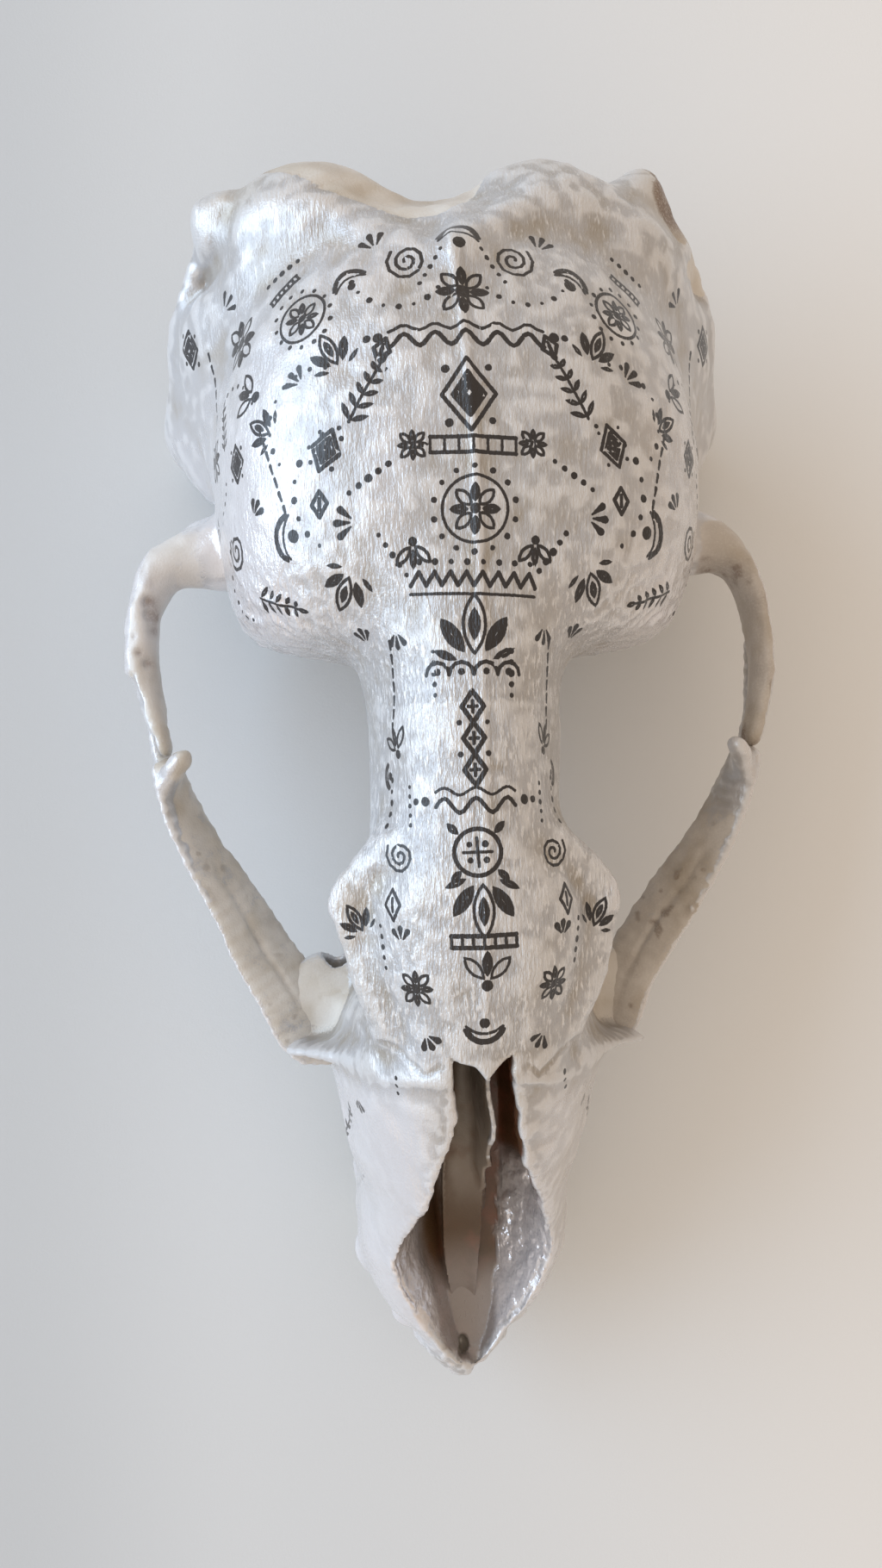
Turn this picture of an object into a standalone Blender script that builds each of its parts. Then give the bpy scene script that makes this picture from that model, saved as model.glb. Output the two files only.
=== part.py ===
"""Seal skull without its lower jaw: the fused cranium, two cheek bones and the upper teeth.

The frame: +Z is up from the surface that the skull rests on, the snout points to -Y, and the
origin is under the middle of the skull. Numbers in the tables are millimetres.
"""
import math

import bmesh
import bpy
from mathutils import Matrix, Vector

MM = 0.001
RING = 28                # points round a lofted section
TUBE = 12                # points round a swept rod
BALL = (20, 12)          # segments and rings of a rounded lump
GAP = 0.35               # clearance between pieces that touch
LEFT, RIGHT = 1, -1      # the skull's own left is +X, because its snout points to -Y

# Bone is first made as overlapping volumes, then fused and smoothed.
FUSE_GRAIN = 1.3
CHEEK_GRAIN = 0.8
FUSE_SMOOTHING = 8
SMOOTHING_FACTOR = 0.5
SMOOTHING_LOSS = 0.35     # what the smoothing takes off a rod, which is swept that much thicker
CRANIUM_DETAIL = 0.036    # share of the fused faces that are kept
CHEEK_DETAIL = 0.05

# The tables are measured from the midline; the origin is put under the middle of the outline.
ORIGIN_SHIFT = Vector((0.8, -2.15, 0.0))

# The midline isn't quite straight: y, x
MIDLINE = [(-116, -2.2), (-95, -1.8), (-75, -1.3), (-58, -1.0), (-42, -0.3), (-22, 0), (2, -0.9), (28, -0.8),
           (50, -0.1), (75, -0.5), (95, -0.9), (124, -0.9)]
SNOUT_TIP = -117.2

# Lofted volumes: y, half width, lowest z, z of the widest level, highest z, roundness
BRAINCASE = [
    (28.4, 8, 38, 54, 66, 2.2), (30, 20, 31, 50, 71, 2.2), (32.4, 33, 26, 47, 75.5, 2.2),
    (35.5, 39.6, 22, 45, 79, 2.2), (43, 43.2, 20, 44, 83.4, 2.25), (54, 45, 19, 43, 85.4, 2.3),
    (66, 45.4, 18, 43, 85, 2.3), (77, 44.2, 18, 43, 83, 2.3), (88, 41, 18, 43, 79, 2.3),
    (97, 37, 19, 42, 73.5, 2.3), (104, 31, 20, 40, 66, 2.3), (108, 24, 24, 38, 57, 2.2)]
SHELF = [
    (50, 41, 20, 26, 36, 2.3), (58, 45, 18, 27, 44, 2.3), (68, 48.4, 16, 29, 54, 2.3),
    (78, 50.8, 15, 31, 61, 2.2), (88, 53.2, 15, 33, 65, 2.1), (96, 52, 16, 36, 66.5, 2.1),
    (102, 46, 17, 39, 66, 2.1), (107, 38.4, 19, 41, 64, 2.1), (110.5, 31.5, 22, 41, 59, 2.2)]
FOREHEAD = [
    (54, 30, 40, 58, 83.6, 2.1), (46, 27, 40, 57, 84, 2.1), (38, 23.5, 40, 56, 84, 2.2),
    (31, 20, 38, 54, 84, 2.25), (24, 17.8, 36, 52, 84, 2.25),
    (14, 17.3, 36, 51, 84.2, 2.25), (4, 17.1, 36, 52, 84.4, 2.25), (-5, 17.6, 38, 58, 84.2, 2.3),
    (-14, 19.2, 40, 64, 83.5, 2.3), (-24, 18.6, 40, 64, 82, 2.3), (-33, 16.8, 40, 60, 79.5, 2.2),
    (-42, 16.4, 38, 56, 76.5, 2.2)]
ORBIT_WALL = [
    (40, 20, 18, 34, 66, 2.4), (28, 14, 20, 34, 66, 2.4), (16, 11, 20, 34, 66, 2.4),
    (0, 10, 20, 34, 66, 2.4), (-16, 11, 20, 34, 66, 2.4), (-28, 14, 20, 36, 66, 2.4),
    (-38, 20, 20, 38, 66, 2.4)]
PALATE = [
    (50, 16, 19, 24, 30, 2.4), (34, 13.5, 17.5, 23, 32, 2.4), (16, 12.5, 17, 23, 31, 2.4),
    (2, 13.5, 17, 22, 31, 2.4), (-12, 16.5, 17, 22, 31, 2.4), (-26, 20, 17, 22, 33, 2.4),
    (-40, 23, 17, 23, 36, 2.4)]
SNOUT = [
    (-28, 19, 20, 32, 78, 2.1), (-38, 25, 18, 29, 77.5, 2.1), (-46, 27.4, 17, 27, 75.2, 2.1),
    (-54, 26, 17, 25, 71.8, 2.1), (-64, 23.8, 17, 24, 66.5, 2.1), (-75, 21.9, 16.5, 23, 59.5, 2.0),
    (-85, 21.8, 16, 22, 52, 2.0), (-92, 20.4, 16, 22, 46.5, 2.0), (-99, 17.4, 16, 22, 41, 2.0),
    (-106, 11, 16.5, 22, 35.5, 2.0), (-111.5, 7.4, 17.5, 22.5, 31.5, 2.0),
    (-114.6, 4.4, 19, 23.5, 28.5, 2.0), (SNOUT_TIP, 2.4, 21, 24, 27, 2.0)]

# Rounded lumps: x, y, z, then the radii along x, y and z; each is made on both sides
LUMPS = {
    "mastoid process": (53.2, 83, 11.8, 7.4, 7.4, 13.8),
    "mastoid root": (47, 80, 22, 9.6, 13.4, 12),
    "paroccipital process": (37, 101, 15, 5.5, 5.5, 9.5),
    "ear capsule": (26, 70, 18, 12, 15, 8.5),
    "occipital condyle": (12.8, 111, 24, 8, 8.8, 10.5),
    "glenoid wall": (49, 60, 19, 9, 4, 7),
    "orbit floor": (25, -37, 31.5, 9.5, 9.5, 5.6),
    "pterygoid hook": (11.5, 28, 16, 2.4, 8, 5)}

# The back of the head is uneven: these lumps are each on one side.
REAR_LUMPS = [
    (16, 105.8, 50, 16.8, 15.3, 17.5), (-24, 105.6, 50, 17.8, 15.9, 17), (24, 100, 48, 20, 15.5, 17.5),
    (36.4, 113.4, 50, 5.8, 7, 7), (42, 107, 47, 4.4, 5, 6), (-41.5, 110.2, 50, 5, 5.8, 7)]

# Swept ridges and rods: x, y, z, half thickness across, half height, tilt in degrees
NUCHAL_CREST = [
    (54.4, 84, 20, 2.2, 5, 0), (54, 93.4, 31, 2, 5, 0), (48, 101, 42, 2, 5.4, 0),
    (40.5, 106, 51.5, 2, 4.8, 0), (32.5, 108.6, 59.5, 2, 4.6, 0), (23.4, 106.8, 65, 2, 4.6, 0),
    (12, 102.4, 68.6, 2, 4.6, 0), (0, 100.6, 70.4, 2.2, 4.8, 0)]
MIDLINE_RIDGE = [(0, 101.6, 70.4, 1.4, 5, 0), (0, 106.4, 60, 1.4, 3.4, 0), (0, 109, 47, 1.4, 3, 0)]
BROW = [
    (12.5, -3.4, 72, 3, 4, 0), (18.2, -8, 70.5, 3, 2.8, 0), (22, -13.4, 69.8, 3, 2.2, 0),
    (20.2, -20, 69.4, 3, 2.2, 0), (18.6, -27, 69, 2.8, 2.6, 0), (15.5, -34, 67, 2.8, 4, 0)]
FACE_RIDGE = [
    (33.4, -45, 35.5, 1.2, 3.4, 0), (26, -43.6, 44, 1.4, 4.6, 0), (19.5, -42.6, 53, 1.6, 5, 0),
    (14, -42, 62, 1.8, 5, 0)]
CHEEK_ROOT = [
    (21, -38, 30, 7.5, 6, 0), (27, -37.5, 30.5, 7.5, 5.2, 0), (33, -37, 32, 7, 4.8, 0)]
SQUAMOSAL_ARM = {
    RIGHT: [(40, 55, 28, 9, 7, 0), (50, 54.2, 28.5, 7, 6.6, 0), (57, 52.5, 29, 5, 6.4, 0),
           (61.6, 46.5, 30, 3.8, 6.2, 0), (62.9, 38, 31, 3.1, 6, 0), (62.3, 29.5, 32, 3.1, 5.2, 0),
           (60.2, 23, 33.5, 2.2, 4.2, 0), (57.6, 14.8, 36, 1.5, 2.6, 0)],
    LEFT: [(40, 56, 28, 9, 7, 0), (49, 55.4, 28.5, 7, 6.6, 0), (56, 53.6, 29, 4.6, 6.4, 0),
           (60.6, 47, 30, 2.5, 6.2, 0), (63, 38, 31, 2.1, 6, 0), (63.6, 29, 32, 2.1, 5.2, 0),
           (62.4, 22, 33.5, 2, 4.2, 0), (60, 14.4, 36, 1.6, 2.6, 0)]}

# The cheek bone is a blade whose top edge leans outwards.
CHEEK_BLADE = {
    RIGHT: [(32, -41.5, 33, 2.2, 6.4, 60), (35.3, -35, 33, 2, 7, 56), (40.6, -26, 33, 1.8, 7, 48),
           (45.8, -16, 33.4, 1.8, 6.6, 40), (51.2, -6, 34, 1.8, 6, 34), (55.4, 4, 35, 2, 5.4, 28),
           (57.4, 11, 35.6, 2, 4.4, 20)],
    LEFT: [(31.4, -41, 33, 2.2, 6.4, 60), (32.2, -34, 33, 2, 5.6, 54), (38, -25, 33, 1.8, 6.4, 44),
            (44.9, -15, 33.4, 1.8, 6.6, 36), (52, -5, 34, 1.8, 5.8, 32), (56.6, 4.5, 35, 2, 5.2, 28),
            (58.8, 11, 35.6, 2, 4.4, 20)]}
CHEEK_HEAD = {
    RIGHT: [(56.2, 8.6, 38, 1.9, 3, 0), (54.4, 11.4, 41, 1.8, 2.5, 0), (52.8, 12.8, 43, 1.4, 1.9, 0)],
    LEFT: [(57.4, 8.6, 38, 1.9, 3, 0), (56.2, 11.4, 41, 1.8, 2.5, 0), (54.8, 12.8, 43, 1.4, 1.9, 0)]}
CHEEK_TAIL = {
    RIGHT: [(57.6, 8, 31.5, 1.7, 3, 10), (60.4, 17, 28.4, 1.6, 2.8, 6), (62.2, 27, 24.8, 1.5, 2.5, 4),
            (63, 35, 22.8, 1.2, 1.8, 0)],
    LEFT: [(58.8, 8, 31.5, 1.7, 3, 10), (62.2, 17, 28.4, 1.5, 2.8, 6), (64, 27, 24.8, 1.4, 2.5, 4),
           (64.4, 35, 22.8, 1.2, 1.8, 0)]}

# The open nose: y, then half widths and heights of the floor, side, shoulder and rim
OPEN = 90                # a rim this high is open above
NOSE = [
    (-10, (3.4, 38), (5, 44), (5, 52), (2, 56)), (-24, (6, 30), (10, 42), (9, 58), (3, 66)),
    (-36, (7, 27), (12.5, 40), (10.5, 62), (3, 70)), (-40, (7, 26.5), (13, 40), (11, 62), (4.6, OPEN)),
    (-48, (7, 26), (13.5, 38), (11.5, 58), (5, OPEN)), (-57, (7, 25.5), (13.5, 36), (11.8, 52), (6.4, OPEN)),
    (-66, (7, 25), (13.5, 35), (13, 47), (9.4, OPEN)), (-75, (7, 25), (12.4, 33), (13.4, 42), (12.4, OPEN)),
    (-86, (6.4, 25), (10.5, 30), (13.6, 38), (15, OPEN)), (-94, (5.6, 25), (8.4, 29), (11, 35), (12.6, OPEN)),
    (-102, (4.4, 25), (6.2, 28), (8, 32), (8.6, OPEN)),
    (-108.5, (2.8, 25.4), (3.8, 27), (4.4, 30), (5, OPEN)), (-113, (1.2, 26), (1.6, 27), (2, 29), (2.4, OPEN))]
RIM_BEND = 4             # the rim's wall is straight above this height over the shoulder
VOMER = [
    (-34, 1.3, 24, 40, 72, 3), (-46, 1.2, 22, 40, 70, 3), (-58, 1.2, 22, 38, 64, 3),
    (-67, 1.3, 22, 34, 50, 3), (-74, 2.6, 22, 32, 37.5, 3), (-86, 3.2, 22, 30, 35, 3),
    (-97, 2.2, 22, 27, 30, 3)]
VOMER_OFF_CENTRE = 0.8
THROAT = [
    (-20, 5, 28, 34, 40, 2.2), (-8, 7.5, 23.5, 28, 34, 2.2), (2, 9, 18, 24, 29, 2.2),
    (10, 9.5, 8, 20, 26, 2.2), (20, 9, 4, 16, 23, 2.2), (31, 7, 2, 12, 19.6, 2.2)]
FORAMEN_MAGNUM = [
    (88, 5, 29, 34, 39, 2), (97, 9, 25.5, 34, 42, 2), (110, 10, 24.6, 34, 43, 2),
    (124, 11, 24, 35, 45, 2)]
CHEEK_CANAL = [(25.5, -60, 28, 2.8, 2.8, 0), (26, -44, 28.2, 3, 3, 0), (25, -22, 31, 3.4, 3.4, 0)]

# Teeth: x, y of the gum line, gum radius, crown length, root length, forward rake, side lean
CANINE = (16.4, -91.5, 4.6, 17.2, 11, 3.4, 0.4)
INCISORS = [
    (3.2, -112.3, 1.5, 6, 3.6, 1.2, 0), (7, -109.6, 1.7, 7, 4, 1.2, 0),
    (11, -104.6, 2.6, 9.5, 5, 1.6, 0)]
POSTCANINES = [
    (18.2, -81.5, 2.6), (18.7, -73.5, 2.8), (19.3, -65.2, 2.9), (19.7, -56.8, 2.9),
    (20, -48.4, 2.8), (19.6, -40.4, 2.5)]
CROWN_PROFILE = [(0.0, 1.0), (0.35, 0.84), (0.7, 0.52), (0.92, 0.24), (1.0, 0.1)]
SMALL_CROWN_PROFILE = [(0.0, 1.0), (0.45, 0.74), (0.85, 0.34), (1.0, 0.14)]
TOOTH_SIDES = 8
TOOTH_FLATNESS = 0.85    # width across the jaw as a share of the length along it
ROOT_END = 0.5           # the root's end as a share of the radius at the gum
POSTCANINE_CROWN = 6.5
POSTCANINE_ROOT = 4.2
GUM_LEVEL = 17.2
SOCKET_MOUTH = -2.5

# The bone is worn flat where it stands: a block below the surface cuts the lowest points off.
GROUND_BLOCK = (300, 300, 20)

BONE_FINISH = ((0.80, 0.79, 0.77, 1.0), 0.38)
BARE_BONE_FINISH = ((0.78, 0.72, 0.62, 1.0), 0.5)
TOOTH_FINISH = ((0.80, 0.72, 0.55, 1.0), 0.3)


def clear_scene():
    for thing in list(bpy.data.objects):
        bpy.data.objects.remove(thing, do_unlink=True)


def finish(name, colour_and_roughness):
    """A plain matt or satin material."""
    colour, roughness = colour_and_roughness
    material = bpy.data.materials.new(name)
    material.use_nodes = True
    shader = material.node_tree.nodes["Principled BSDF"]
    shader.inputs["Base Color"].default_value = colour
    shader.inputs["Roughness"].default_value = roughness
    shader.inputs["Metallic"].default_value = 0.0
    return material


def midline(y):
    """How far the skull's middle is from x = 0 at y."""
    for (start, first), (end, second) in zip(MIDLINE, MIDLINE[1:]):
        if y <= end:
            part = max((y - start) / (end - start), 0.0)
            return first + (second - first) * part
    return MIDLINE[-1][1]


def at(x, y, z):
    """A point in metres from the origin, for a table's x measured from the skull's middle."""
    return (Vector((x + midline(y), y, z)) + ORIGIN_SHIFT) * MM


def skin(mesh, rings):
    """Closes a row of equal rings into one tube with flat ends."""
    rows = [[mesh.verts.new(point) for point in ring] for ring in rings]
    for row, following in zip(rows, rows[1:]):
        for index in range(len(row)):
            after = (index + 1) % len(row)
            mesh.faces.new((row[index], row[after], following[after], following[index]))
    mesh.faces.new(rows[0][::-1])
    mesh.faces.new(rows[-1])
    bmesh.ops.recalc_face_normals(mesh, faces=mesh.faces[:])


def rounded(value, power):
    return math.copysign(abs(value) ** (2.0 / power), value)


def loft(mesh, stations, off_centre=0.0):
    rings = []
    for y, half_width, low, wide, high, power in stations:
        ring = []
        for index in range(RING):
            angle = 2 * math.pi * index / RING
            rise = rounded(math.sin(angle), power)
            reach = high - wide if rise > 0 else wide - low
            ring.append(at(off_centre + half_width * rounded(math.cos(angle), power), y, wide + reach * rise))
        rings.append(ring)
    skin(mesh, rings)


def lump(mesh, x, y, z, wide, long, tall):
    place = Matrix.Translation(at(x, y, z)) @ Matrix.Diagonal((wide * MM, long * MM, tall * MM, 1))
    bmesh.ops.create_uvsphere(mesh, u_segments=BALL[0], v_segments=BALL[1], radius=1.0, matrix=place)


def sweep(mesh, path, side, grow=SMOOTHING_LOSS):
    """A rod along a path, flattened to its own thickness and height at each point."""
    points = [at(side * x, y, z) for x, y, z, *_ in path]
    rings = []
    for index, (point, (_, _, _, across, tall, tilt)) in enumerate(zip(points, path)):
        before = points[max(index - 1, 0)]
        after = points[min(index + 1, len(points) - 1)]
        forward = (after - before).normalized()
        level = forward.cross(Vector((0, 0, 1))).normalized()
        turn = Matrix.Rotation(math.radians(tilt) * side, 3, forward)
        outward = turn @ level
        upward = turn @ level.cross(forward)
        ring = []
        for step in range(TUBE):
            angle = 2 * math.pi * step / TUBE
            level_part = outward * math.cos(angle) * (across + grow)
            rising_part = upward * math.sin(angle) * (tall + grow)
            ring.append(point + (level_part + rising_part) * MM)
        rings.append(ring)
    skin(mesh, rings)


def new_object(name, mesh):
    """Turns a bmesh into an object of the scene."""
    bmesh.ops.triangulate(mesh, faces=mesh.faces[:])
    data = bpy.data.meshes.new(name)
    mesh.to_mesh(data)
    mesh.free()
    thing = bpy.data.objects.new(name, data)
    bpy.context.collection.objects.link(thing)
    return thing


def cutter(name, mesh):
    thing = new_object(name, mesh)
    thing.hide_render = True
    thing.display_type = "WIRE"
    return thing


def fuse(thing, detail, grain):
    """Melts overlapping volumes into one bone and keeps a share of its faces."""
    remesh = thing.modifiers.new("fuse", "REMESH")
    remesh.mode = "VOXEL"
    remesh.voxel_size = grain * MM
    remesh.adaptivity = 0.0
    smooth = thing.modifiers.new("soften", "SMOOTH")
    smooth.factor = SMOOTHING_FACTOR
    smooth.iterations = FUSE_SMOOTHING
    decimate = thing.modifiers.new("thin out", "DECIMATE")
    decimate.ratio = detail


def combine(thing, other, operation):
    boolean = thing.modifiers.new(operation.lower(), "BOOLEAN")
    boolean.operation = operation
    boolean.object = other


def cranium_volumes():
    mesh = bmesh.new()
    for stations in (BRAINCASE, SHELF, FOREHEAD, ORBIT_WALL, PALATE, SNOUT):
        loft(mesh, stations)
    for side in (LEFT, RIGHT):
        for x, y, z, wide, long, tall in LUMPS.values():
            lump(mesh, side * x, y, z, wide, long, tall)
        for path in (NUCHAL_CREST, BROW, FACE_RIDGE, CHEEK_ROOT, SQUAMOSAL_ARM[side]):
            sweep(mesh, path, side)
    for numbers in REAR_LUMPS:
        lump(mesh, *numbers)
    sweep(mesh, MIDLINE_RIDGE, LEFT)
    return mesh


def open_nose():
    """The nasal cavity, open above where the nasal bones are missing."""
    mesh = bmesh.new()
    rings = []
    for y, floor, side, shoulder, rim in NOSE:
        bend = (rim[0], shoulder[1] + RIM_BEND)
        if rim[1] < OPEN:
            bend = ((shoulder[0] + rim[0]) / 2, (shoulder[1] + rim[1]) / 2)
        half = [floor, side, shoulder, bend, rim]
        ring = [at(x, y, z) for x, z in half] + [at(-x, y, z) for x, z in reversed(half)]
        rings.append(ring)
    skin(mesh, rings)
    return cutter("nose_space", mesh)


def loft_cutter(name, stations):
    mesh = bmesh.new()
    loft(mesh, stations)
    return cutter(name, mesh)


def tooth_ring(numbers, side, height, reach):
    """One level of a curved tooth, at a height above the gum line."""
    x, y, _, crown, _, rake, lean = numbers
    bend = height / crown
    ring = []
    for step in range(TOOTH_SIDES):
        angle = 2 * math.pi * step / TOOTH_SIDES
        across = side * (x - lean * bend) + TOOTH_FLATNESS * reach * math.cos(angle)
        along = y + rake * bend * abs(bend) + reach * math.sin(angle)
        ring.append(at(across, along, GUM_LEVEL + height))
    return ring


def tooth(mesh, numbers, side):
    """A curved cone from its root, in the bone, down to a blunt tip."""
    _, _, radius, crown, root, _, _ = numbers
    profile = CROWN_PROFILE if numbers is CANINE else SMALL_CROWN_PROFILE
    rings = [tooth_ring(numbers, side, root, ROOT_END * radius)]
    rings += [tooth_ring(numbers, side, -crown * down, radius * share) for down, share in profile]
    skin(mesh, rings)


def socket(mesh, numbers, side):
    """The hole for a tooth's root, wider than the tooth all round."""
    _, _, radius, _, root, _, _ = numbers
    levels = [(root + GAP, ROOT_END * radius + GAP), (0.0, radius + GAP), (SOCKET_MOUTH, radius + GAP)]
    skin(mesh, [tooth_ring(numbers, side, height, reach) for height, reach in levels])


def tooth_list():
    """Name, numbers and side of every upper tooth."""
    teeth = []
    for side, word in ((LEFT, "left"), (RIGHT, "right")):
        teeth.append((f"canine_{word}", CANINE, side))
        for number, numbers in enumerate(INCISORS, 1):
            teeth.append((f"incisor_{word}_{number}", numbers, side))
        for number, (x, y, radius) in enumerate(POSTCANINES, 1):
            numbers = (x, y, radius, POSTCANINE_CROWN, POSTCANINE_ROOT, 0.0, 0.0)
            teeth.append((f"postcanine_{word}_{number}", numbers, side))
    return teeth


def make_teeth(material):
    for name, numbers, side in tooth_list():
        mesh = bmesh.new()
        tooth(mesh, numbers, side)
        thing = new_object(name, mesh)
        thing.data.materials.append(material)
        thing.data.shade_smooth()


def tooth_sockets():
    mesh = bmesh.new()
    for _, numbers, side in tooth_list():
        socket(mesh, numbers, side)
    return cutter("sockets", mesh)


def ground_block():
    wide, long, deep = GROUND_BLOCK
    mesh = bmesh.new()
    place = Matrix.Translation(Vector((0, 0, -deep / 2 * MM)))
    size = Matrix.Diagonal((wide * MM, long * MM, deep * MM, 1))
    bmesh.ops.create_cube(mesh, size=1.0, matrix=place @ size)
    return cutter("ground_block", mesh)


def make_cranium(material):
    cranium = new_object("cranium", cranium_volumes())
    fuse(cranium, CRANIUM_DETAIL, FUSE_GRAIN)
    combine(cranium, open_nose(), "DIFFERENCE")
    mesh = bmesh.new()
    loft(mesh, VOMER, VOMER_OFF_CENTRE)
    combine(cranium, cutter("vomer", mesh), "UNION")
    combine(cranium, loft_cutter("throat", THROAT), "DIFFERENCE")
    combine(cranium, loft_cutter("foramen_magnum", FORAMEN_MAGNUM), "DIFFERENCE")
    mesh = bmesh.new()
    for side in (LEFT, RIGHT):
        sweep(mesh, CHEEK_CANAL, side, grow=0.0)
    combine(cranium, cutter("cheek_canals", mesh), "DIFFERENCE")
    combine(cranium, tooth_sockets(), "DIFFERENCE")
    combine(cranium, ground_block(), "DIFFERENCE")
    cranium.data.materials.append(material)
    return cranium


def make_cheek_bones(material):
    mesh = cranium_volumes()
    clearance = cutter("cranium_clearance", mesh)
    fuse(clearance, CRANIUM_DETAIL, FUSE_GRAIN)
    swell = clearance.modifiers.new("swell", "DISPLACE")
    swell.mid_level = 0.0
    swell.strength = GAP * MM
    for side, word in ((LEFT, "left"), (RIGHT, "right")):
        mesh = bmesh.new()
        for path in (CHEEK_BLADE[side], CHEEK_HEAD[side], CHEEK_TAIL[side]):
            sweep(mesh, path, side)
        bone = new_object(f"jugal_{word}", mesh)
        fuse(bone, CHEEK_DETAIL, CHEEK_GRAIN)
        combine(bone, clearance, "DIFFERENCE")
        bone.data.materials.append(material)


clear_scene()
make_cranium(finish("painted bone", BONE_FINISH))
make_cheek_bones(finish("bare bone", BARE_BONE_FINISH))
make_teeth(finish("tooth", TOOTH_FINISH))
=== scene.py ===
import math
from functools import partial

import bpy
import numpy as np
from mathutils import Matrix, Vector
from mathutils.kdtree import KDTree


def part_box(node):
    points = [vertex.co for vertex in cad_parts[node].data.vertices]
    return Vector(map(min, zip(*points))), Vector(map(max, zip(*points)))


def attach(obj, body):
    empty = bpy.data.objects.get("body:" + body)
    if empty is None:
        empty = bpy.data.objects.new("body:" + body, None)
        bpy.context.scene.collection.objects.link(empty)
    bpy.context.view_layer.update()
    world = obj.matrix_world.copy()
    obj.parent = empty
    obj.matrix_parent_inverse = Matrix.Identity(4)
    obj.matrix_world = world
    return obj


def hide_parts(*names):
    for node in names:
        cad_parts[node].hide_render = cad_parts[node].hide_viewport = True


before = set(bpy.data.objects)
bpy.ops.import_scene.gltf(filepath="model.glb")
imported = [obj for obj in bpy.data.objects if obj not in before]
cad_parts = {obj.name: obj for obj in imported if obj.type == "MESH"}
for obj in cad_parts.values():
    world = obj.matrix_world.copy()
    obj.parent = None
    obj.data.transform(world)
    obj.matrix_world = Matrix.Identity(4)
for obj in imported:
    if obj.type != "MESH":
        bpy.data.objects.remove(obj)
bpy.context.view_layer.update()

# The tables are millimetres from the skull's midline; the origin is under the middle of the outline.
MM = 0.001
ORIGIN_SHIFT = np.array([0.8, -2.15, 0.0])
LEFT, RIGHT = 1, -1          # the skull's own left is +X, because its snout points to -Y

# The midline isn't quite straight: y, x
MIDLINE = [(-116, -2.2), (-95, -1.8), (-75, -1.3), (-58, -1.0), (-42, -0.3), (-22, 0), (2, -0.9), (28, -0.8),
           (50, -0.1), (75, -0.5), (95, -0.9), (124, -0.9)]
SNOUT_TIP = -116.6

# Grain of the sampled shapes, and how softly their parts melt together
CRANIUM_GRAIN = 0.62
CHEEK_GRAIN = 0.42
NOSE_WALL_GRAIN = 0.32
INNER_NOSE_GRAIN = 1.0
MOST_TRIANGLES = 188000
SHARP, FOREHEAD_SOFT, SOFT, SHELF_SOFT = 0.01, 2.4, 5.0, 8.0
FAR = 20.0                   # a distance beyond every surface
CRANIUM_BOX = ((-70, -119, -3), (70, 124, 90))
CHEEK_BOX = ((22, -50, 12), (70, 44, 52))    # of the left cheek bone

# Lofted volumes: y, half width, lowest z, z of the widest level, highest z, roundness
BRAINCASE = [
    (28.4, 8, 38, 54, 66, 2.2), (30, 20, 31, 50, 71, 2.2), (32.4, 33, 26, 47, 75.5, 2.2),
    (35.5, 39.6, 22, 45, 78.6, 2.2), (43, 43.2, 20, 44, 82.4, 2.25), (54, 45, 19, 43, 84.2, 2.3),
    (66, 45.4, 18, 43, 84.2, 2.3), (77, 44.2, 18, 43, 82.6, 2.3), (88, 41, 18, 43, 79, 2.3),
    (97, 37, 19, 42, 73.5, 2.3), (104, 31, 20, 40, 66, 2.3), (108, 24, 24, 38, 57, 2.2)]
SHELF = [
    (50, 41, 20, 26, 36, 2.3), (58, 45, 18, 27, 44, 2.3), (68, 48.4, 16, 29, 54, 2.3),
    (78, 50.8, 15, 31, 61, 2.2), (88, 53.2, 15, 33, 65, 2.1), (96, 52, 16, 36, 66.5, 2.1),
    (102, 46, 17, 39, 66, 2.1), (107, 38.4, 19, 41, 64, 2.1), (110.5, 31.5, 22, 41, 59, 2.2)]
FOREHEAD = [
    (54, 30, 40, 58, 82.6, 2.1), (46, 27, 40, 57, 83.2, 2.1), (38, 23.5, 40, 56, 83.3, 2.2),
    (31, 20, 38, 54, 83.3, 2.25), (24, 17.8, 36, 52, 83.3, 2.25),
    (14, 17.3, 36, 51, 83.4, 2.25), (4, 17.1, 36, 52, 83.6, 2.25), (-5, 17.6, 38, 58, 83.5, 2.3),
    (-14, 19.2, 40, 64, 83, 2.3), (-24, 18.6, 40, 64, 82, 2.3), (-33, 16.8, 40, 60, 79.5, 2.2),
    (-42, 16.4, 38, 56, 76.5, 2.2)]
ORBIT_WALL = [
    (40, 20, 18, 34, 66, 2.4), (28, 14, 20, 34, 66, 2.4), (16, 11, 20, 34, 66, 2.4),
    (0, 10, 20, 34, 66, 2.4), (-16, 11, 20, 34, 66, 2.4), (-28, 14, 20, 36, 66, 2.4),
    (-38, 20, 20, 38, 66, 2.4)]
PALATE = [
    (50, 16, 19, 24, 30, 2.4), (34, 13.5, 17.5, 23, 32, 2.4), (16, 12.5, 17, 23, 31, 2.4),
    (2, 13.5, 17, 22, 31, 2.4), (-12, 16.5, 17, 22, 31, 2.4), (-26, 20, 17, 22, 33, 2.4),
    (-40, 23, 17, 23, 36, 2.4)]
SNOUT = [
    (-28, 19, 20, 32, 78, 2.1), (-38, 25, 18, 29, 77.5, 2.1), (-46, 27.4, 17, 27, 75.2, 2.1),
    (-54, 26, 17, 25, 71.8, 2.1), (-64, 23.8, 17, 24, 66.5, 2.1), (-75, 21.9, 16.5, 23, 59.5, 2.0),
    (-85, 21.8, 16, 22, 52, 2.0), (-92, 20.4, 16, 22, 46.5, 2.0), (-99, 17.4, 16, 22, 41, 2.0),
    (-106, 11, 16.5, 22, 35.5, 2.0), (-111.5, 7.4, 17.5, 22.5, 31.5, 2.0),
    (-114.6, 4.4, 19, 23.5, 28.5, 2.0), (SNOUT_TIP, 2.4, 21, 24, 27, 2.0)]

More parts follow.
